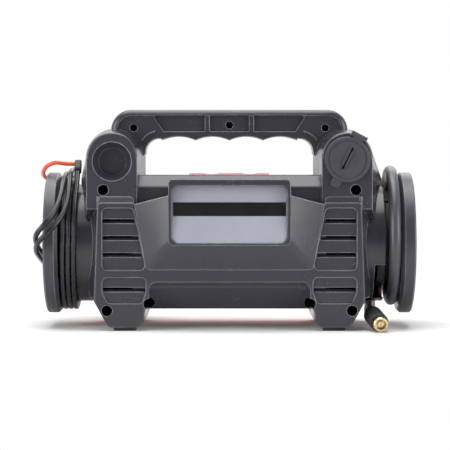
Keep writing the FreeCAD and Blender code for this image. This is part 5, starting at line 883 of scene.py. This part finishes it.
# The lead's inner layers, under the visible turns, and the soft reliefs where the leads and the hose
# leave their clips: short moulded sleeves with ribs, thinner towards the free end.
LAYERS = 4
LAYER_PLACE = (-0.1590, 0, DRUM_MIDDLE / 1000)
POSITIVE_PLACES = 7
POSITIVE_STEP = 0.7
NEGATIVE_PLACES = 16
NEGATIVE_STEP = 0.8
NEGATIVE_BACK = 0.5
HOSE_PLACES = 16
HOSE_STEP = 1.0
layer_tree, layer_in, layer_out = geometry_tree(
    "wound_layers",
    {
        "First Radius": "Float",
        "Layer Pitch": "Float",
        "Turn Pitch": "Float",
        "Turns": "Int",
        "Cord Radius": "Float",
        "Finish": "Material",
    },
)
layer_cord = add(
    layer_tree, "GeometryNodeCurvePrimitiveCircle", {"Resolution": 10, "Radius": layer_in["Cord Radius"]}
).outputs["Curve"]
layer_step = add(layer_tree, "ShaderNodeCombineXYZ", {0: layer_in["Turn Pitch"]}).outputs[0]
layer_row = add(
    layer_tree, "GeometryNodeMeshLine", {"Count": layer_in["Turns"], "Offset": layer_step}
).outputs["Mesh"]
layer_rings = []
for layer in range(LAYERS):
    reach = calc(layer_tree, "MULTIPLY_ADD", layer_in["Layer Pitch"], float(layer), layer_in["First Radius"])
    ring = add(layer_tree, "GeometryNodeCurvePrimitiveCircle", {"Resolution": 72, "Radius": reach})
    tube = add(
        layer_tree,
        "GeometryNodeCurveToMesh",
        {"Curve": ring.outputs["Curve"], "Profile Curve": layer_cord},
    ).outputs["Mesh"]
    stood = add(
        layer_tree, "GeometryNodeTransform", {"Geometry": tube, "Rotation": (0, math.pi / 2, 0)}
    ).outputs[0]
    rings = add(layer_tree, "GeometryNodeInstanceOnPoints", {"Points": layer_row, "Instance": stood})
    layer_rings.append(rings.outputs[0])
layer_all = add(layer_tree, "GeometryNodeJoinGeometry", {"Geometry": layer_rings}).outputs[0]
layer_seat = add(
    layer_tree, "GeometryNodeInstanceOnPoints", {"Points": layer_in["Geometry"], "Instance": layer_all}
).outputs[0]
finished(layer_tree, layer_in, layer_out, layer_seat)
wound_layers = grown(
    points_of("wound_layers", [(LAYER_PLACE, (1, 0, 0))]),
    layer_tree,
    {
        "First Radius": 0.0411,
        "Layer Pitch": 0.0049,
        "Turn Pitch": 0.0043,
        "Turns": 3,
        "Cord Radius": 0.00245,
        "Finish": lead_rubber,
    },
)
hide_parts("lead_winding_core")
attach(wound_layers, "case")


def ribbed_sleeve(curve, places, thick, thin, rib_depth=0.35, rib_every=3):
    """One short sleeve along a cord's first stretch, with ribs that grow thinner."""
    spline = curve.splines.new("POLY")
    spline.points.add(len(places) - 1)
    for count, (spot, place) in enumerate(zip(spline.points, places)):
        share = count / (len(places) - 1)
        groove = rib_depth if count % rib_every == rib_every - 1 else 0
        spot.co = (*(place / 1000), 1)
        spot.radius = thick + (thin - thick) * share - groove


reliefs = bpy.data.curves.new("cord_reliefs", "CURVE")
reliefs.dimensions = "3D"
reliefs.bevel_depth = 0.001
reliefs.bevel_resolution = 6
reliefs.use_fill_caps = True
reliefs.materials.append(gland_black)
negative_first = Vector(negative_points[0])
negative_out = (Vector(negative_points[1]) - negative_first).normalized()
positive_sleeve = [winding_points[0] + winding_in * POSITIVE_STEP * i for i in range(POSITIVE_PLACES)]
negative_steps = [NEGATIVE_STEP * i - NEGATIVE_BACK for i in range(NEGATIVE_PLACES)]
negative_sleeve = [negative_first + negative_out * step for step in negative_steps]
hose_sleeve = [hose_place(HOSE_STEP * i) for i in range(HOSE_PLACES)]
ribbed_sleeve(reliefs, positive_sleeve, thick=3.3, thin=2.75)
ribbed_sleeve(reliefs, negative_sleeve, thick=3.9, thin=2.75)
ribbed_sleeve(reliefs, hose_sleeve, thick=7.0, thin=6.0)
relief_line = bpy.data.objects.new("relief_line", reliefs)
scene.collection.objects.link(relief_line)
cord_reliefs = bpy.data.objects.new("cord_reliefs", bpy.data.meshes.new_from_object(relief_line))
scene.collection.objects.link(cord_reliefs)
bpy.data.objects.remove(relief_line)
settled(cord_reliefs, 50.0)
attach(cord_reliefs, "case")


# Inside: a sealed battery under a steel strap, a small compressor with its motor, gears and pump,
# and the boards. None of it is seen from a step away, but each piece has its own finish.
battery_case = moulded("battery_case", srgb(46, 47, 52), srgb(80, 82, 88), satin=0.34)
zinc_plate = metallic("zinc_plate", srgb(128, 129, 132), srgb(84, 82, 78), tarnished=0.5, polish=0.38)
drawn_steel = metallic("drawn_steel", srgb(168, 168, 172), srgb(110, 106, 102), tarnished=0.3, marks=700.0)
gear_nylon = moulded("gear_nylon", srgb(214, 210, 198), srgb(236, 233, 224), satin=0.46)
cast_alloy = metallic(
    "cast_alloy", srgb(176, 178, 180), srgb(120, 120, 120), tarnished=0.4, polish=0.44, depth=0.00002
)
dress(battery_case, "battery")
dress(zinc_plate, "battery_strap", "pump_frame")
dress(drawn_steel, "motor_can", "motor_shaft")
dress(gear_nylon, "motor_fan", "crank_gear")
dress(cast_alloy, "connecting_rod", "piston", "pump_cylinder", "cylinder_head")

board_green, board_tree, board_base = finish_of("board_green")
board_place = add(board_tree, "ShaderNodeTexCoord").outputs["Object"]
board_tracks = add(
    board_tree, "ShaderNodeTexVoronoi", {"Vector": board_place, "Scale": 260.0}, distance="MANHATTAN"
).outputs["Distance"]
board_line = ranged(board_tree, board_tracks, 0.42, 0.46, 0.0, 1.0)
board_mask = blended(board_tree, board_line, srgb(24, 92, 52), srgb(60, 140, 84))
board_tree.links.new(board_mask, board_base.inputs["Base Color"])
board_bump = add(board_tree, "ShaderNodeBump", {"Height": board_line, "Distance": 0.00003})
board_tree.links.new(board_bump.outputs[0], board_base.inputs["Normal"])
board_base.inputs["Roughness"].default_value = 0.35
dress(board_green, "circuit_boards")


# The front controls: a black fascia let into the red half, with the main switch's knob, a pressure
# gauge, a rocker for the compressor, two rubber buttons, charge lights and ports.
fascia_black = moulded("fascia_black", srgb(42, 42, 47), srgb(84, 84, 92), satin=0.46, grain=1300.0)
knob_red = moulded("knob_red", srgb(196, 40, 28), srgb(232, 110, 90), satin=0.32, depth=0.000008)
button_rubber = rubbery("button_rubber", srgb(48, 48, 52), srgb(110, 108, 106), dusty=0.2, matt=0.58)
port_black = moulded("port_black", srgb(30, 30, 33), srgb(70, 70, 76), satin=0.4)
dial_white = moulded("dial_white", srgb(226, 226, 222), srgb(244, 244, 240), satin=0.5, depth=0.000004)
needle_red = moulded("needle_red", srgb(206, 40, 30), srgb(230, 90, 70), satin=0.4, depth=0.000004)
dress(fascia_black, "control_fascia", "rocker_frame", "parking_bar")
dress(knob_red, "main_knob", "compressor_rocker")
dress(button_rubber, "light_button", "test_button")
dress(port_black, "charge_ports", "main_switch")
dress(dial_white, "gauge_body")
dress(needle_red, "gauge_needle")

light_green, light_tree, light_base = finish_of("light_green")
light_place = add(light_tree, "ShaderNodeTexCoord").outputs["Object"]
light_haze = add(
    light_tree, "ShaderNodeTexNoise", {"Vector": light_place, "Scale": 900.0, "Detail": 2.0}
).outputs[0]
light_share = ranged(light_tree, light_haze, 0.35, 0.65, 0.0, 1.0)
light_tree.links.new(
    blended(light_tree, light_share, srgb(84, 190, 96), srgb(128, 214, 132)),
    light_base.inputs["Base Color"],
)
light_tree.links.new(ranged(light_tree, light_haze, 0.3, 0.7, 0.12, 0.24), light_base.inputs["Roughness"])
light_base.inputs["Emission Color"].default_value = srgb(90, 200, 100)
light_base.inputs["Emission Strength"].default_value = 0.15
dress(light_green, "charge_lights")


# Two front lamps: bright reflectors in the bosses behind clear lenses, whose backs are cut into small
# square prisms. The gauge's window is of the same clear plastic.
reflector = metallic(
    "reflector", srgb(226, 226, 228), srgb(200, 200, 202), tarnished=0.2, marks=2400.0, polish=0.08
)
dress(reflector, "lamp_reflectors")
lens_clear, lens_tree, lens_base = finish_of("lens_clear")
lens_place = add(lens_tree, "ShaderNodeTexCoord").outputs["Object"]
lens_axes = add(lens_tree, "ShaderNodeSeparateXYZ", {0: lens_place})
lens_waves = [
    calc(lens_tree, "PINGPONG", calc(lens_tree, "MULTIPLY", lens_axes.outputs[axis], 300.0), 0.5)
    for axis in ("X", "Z")
]
lens_bump = add(
    lens_tree,
    "ShaderNodeBump",
    {"Height": calc(lens_tree, "MAXIMUM", *lens_waves), "Distance": 0.0006, "Strength": 0.35},
)
lens_tree.links.new(lens_bump.outputs[0], lens_base.inputs["Normal"])
lens_mist = add(
    lens_tree, "ShaderNodeTexNoise", {"Vector": lens_place, "Scale": 90.0, "Detail": 4.0}
).outputs[0]
lens_tree.links.new(ranged(lens_tree, lens_mist, 0.35, 0.7, 0.03, 0.10), lens_base.inputs["Roughness"])
lens_base.inputs["Base Color"].default_value = srgb(246, 249, 250)
lens_base.inputs["Transmission Weight"].default_value = 1.0
lens_base.inputs["IOR"].default_value = 1.49
dress(lens_clear, "clear_lenses")


# Printed and moulded marks, plain ones: a ring of ticks on the gauge's dial, every fourth one longer,
# and three raised marks on the fascia beside the knob, one for each of its stops.
DIAL_CENTRE = (0.030, 0.0600, 0.102)
DIAL_SWEEP = 270
DIAL_STEPS = 24
LONG_EVERY = 4
SHORT_RADIUS = 0.0178
SHORT_SIZE = (0.0004, 0.0004, 0.0018)
LONG_RADIUS = 0.0170
LONG_SIZE = (0.0007, 0.0004, 0.0034)
STOP_CENTRE = (-0.036, 0.0652, 0.098)
STOP_RADIUS = 0.0205
STOP_SIZE = (0.0012, 0.0006, 0.0040)
STOP_ANGLES = (0, -45, -90)
mark_tree, mark_in, mark_out = geometry_tree(
    "row_of_marks", {"Mark Size": "Vector", "Finish": "Material"}
)
mark_block = add(mark_tree, "GeometryNodeMeshCube", {"Size": mark_in["Mark Size"]}).outputs["Mesh"]
finished(mark_tree, mark_in, mark_out, facing(mark_tree, mark_in, mark_block))


def arc_spots(centre, radius, angles):
    """Places on an arc that faces the front, each with its outward way; angles go from straight up."""
    spots = []
    for angle in angles:
        way = (math.sin(math.radians(angle)), 0, math.cos(math.radians(angle)))
        spots.append(((centre[0] + way[0] * radius, centre[1], centre[2] + way[2] * radius), way))
    return spots


def marks(name, spots, mark_size, paint, slot):
    """One piece with a small bar at each spot, its length along the spot's way."""
    piece = grown(points_of(name, spots), mark_tree, {"Mark Size": mark_size, "Finish": paint})
    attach(piece, "case")


dial_ink = moulded(
    "dial_ink", srgb(34, 34, 38), srgb(70, 70, 76), satin=0.45, depth=0.000002, corner=0.0001
)
stop_white = moulded(
    "stop_white", srgb(214, 214, 212), srgb(238, 238, 236), satin=0.5, depth=0.000004, corner=0.0002
)
dial_angles = [-DIAL_SWEEP / 2 + DIAL_SWEEP * i / DIAL_STEPS for i in range(DIAL_STEPS + 1)]
short_angles = [angle for i, angle in enumerate(dial_angles) if i % LONG_EVERY]
short_spots = arc_spots(DIAL_CENTRE, SHORT_RADIUS, short_angles)
long_spots = arc_spots(DIAL_CENTRE, LONG_RADIUS, dial_angles[::LONG_EVERY])
stop_spots = arc_spots(STOP_CENTRE, STOP_RADIUS, STOP_ANGLES)
marks("dial_short_ticks", short_spots, SHORT_SIZE, dial_ink, "control_black")
marks("dial_long_ticks", long_spots, LONG_SIZE, dial_ink, "control_black")
marks("knob_stops", stop_spots, STOP_SIZE, stop_white, "dial_white")


# Two clamps hang on a bar at the front: moulded handles, red for the positive lead and black for the
# negative one, on a steel pin with a coil spring.
clamp_red = moulded("clamp_red", srgb(190, 34, 26), srgb(226, 100, 84), satin=0.30, depth=0.000012)
clamp_black = moulded("clamp_black", srgb(38, 38, 42), srgb(84, 84, 90), satin=0.34, depth=0.000012)
dress(clamp_red, "red_clamp_frame", "red_clamp_jaw")
dress(clamp_black, "black_clamp_frame", "black_clamp_jaw")
dress(screw_zinc, "clamp_pins", "clamp_springs")
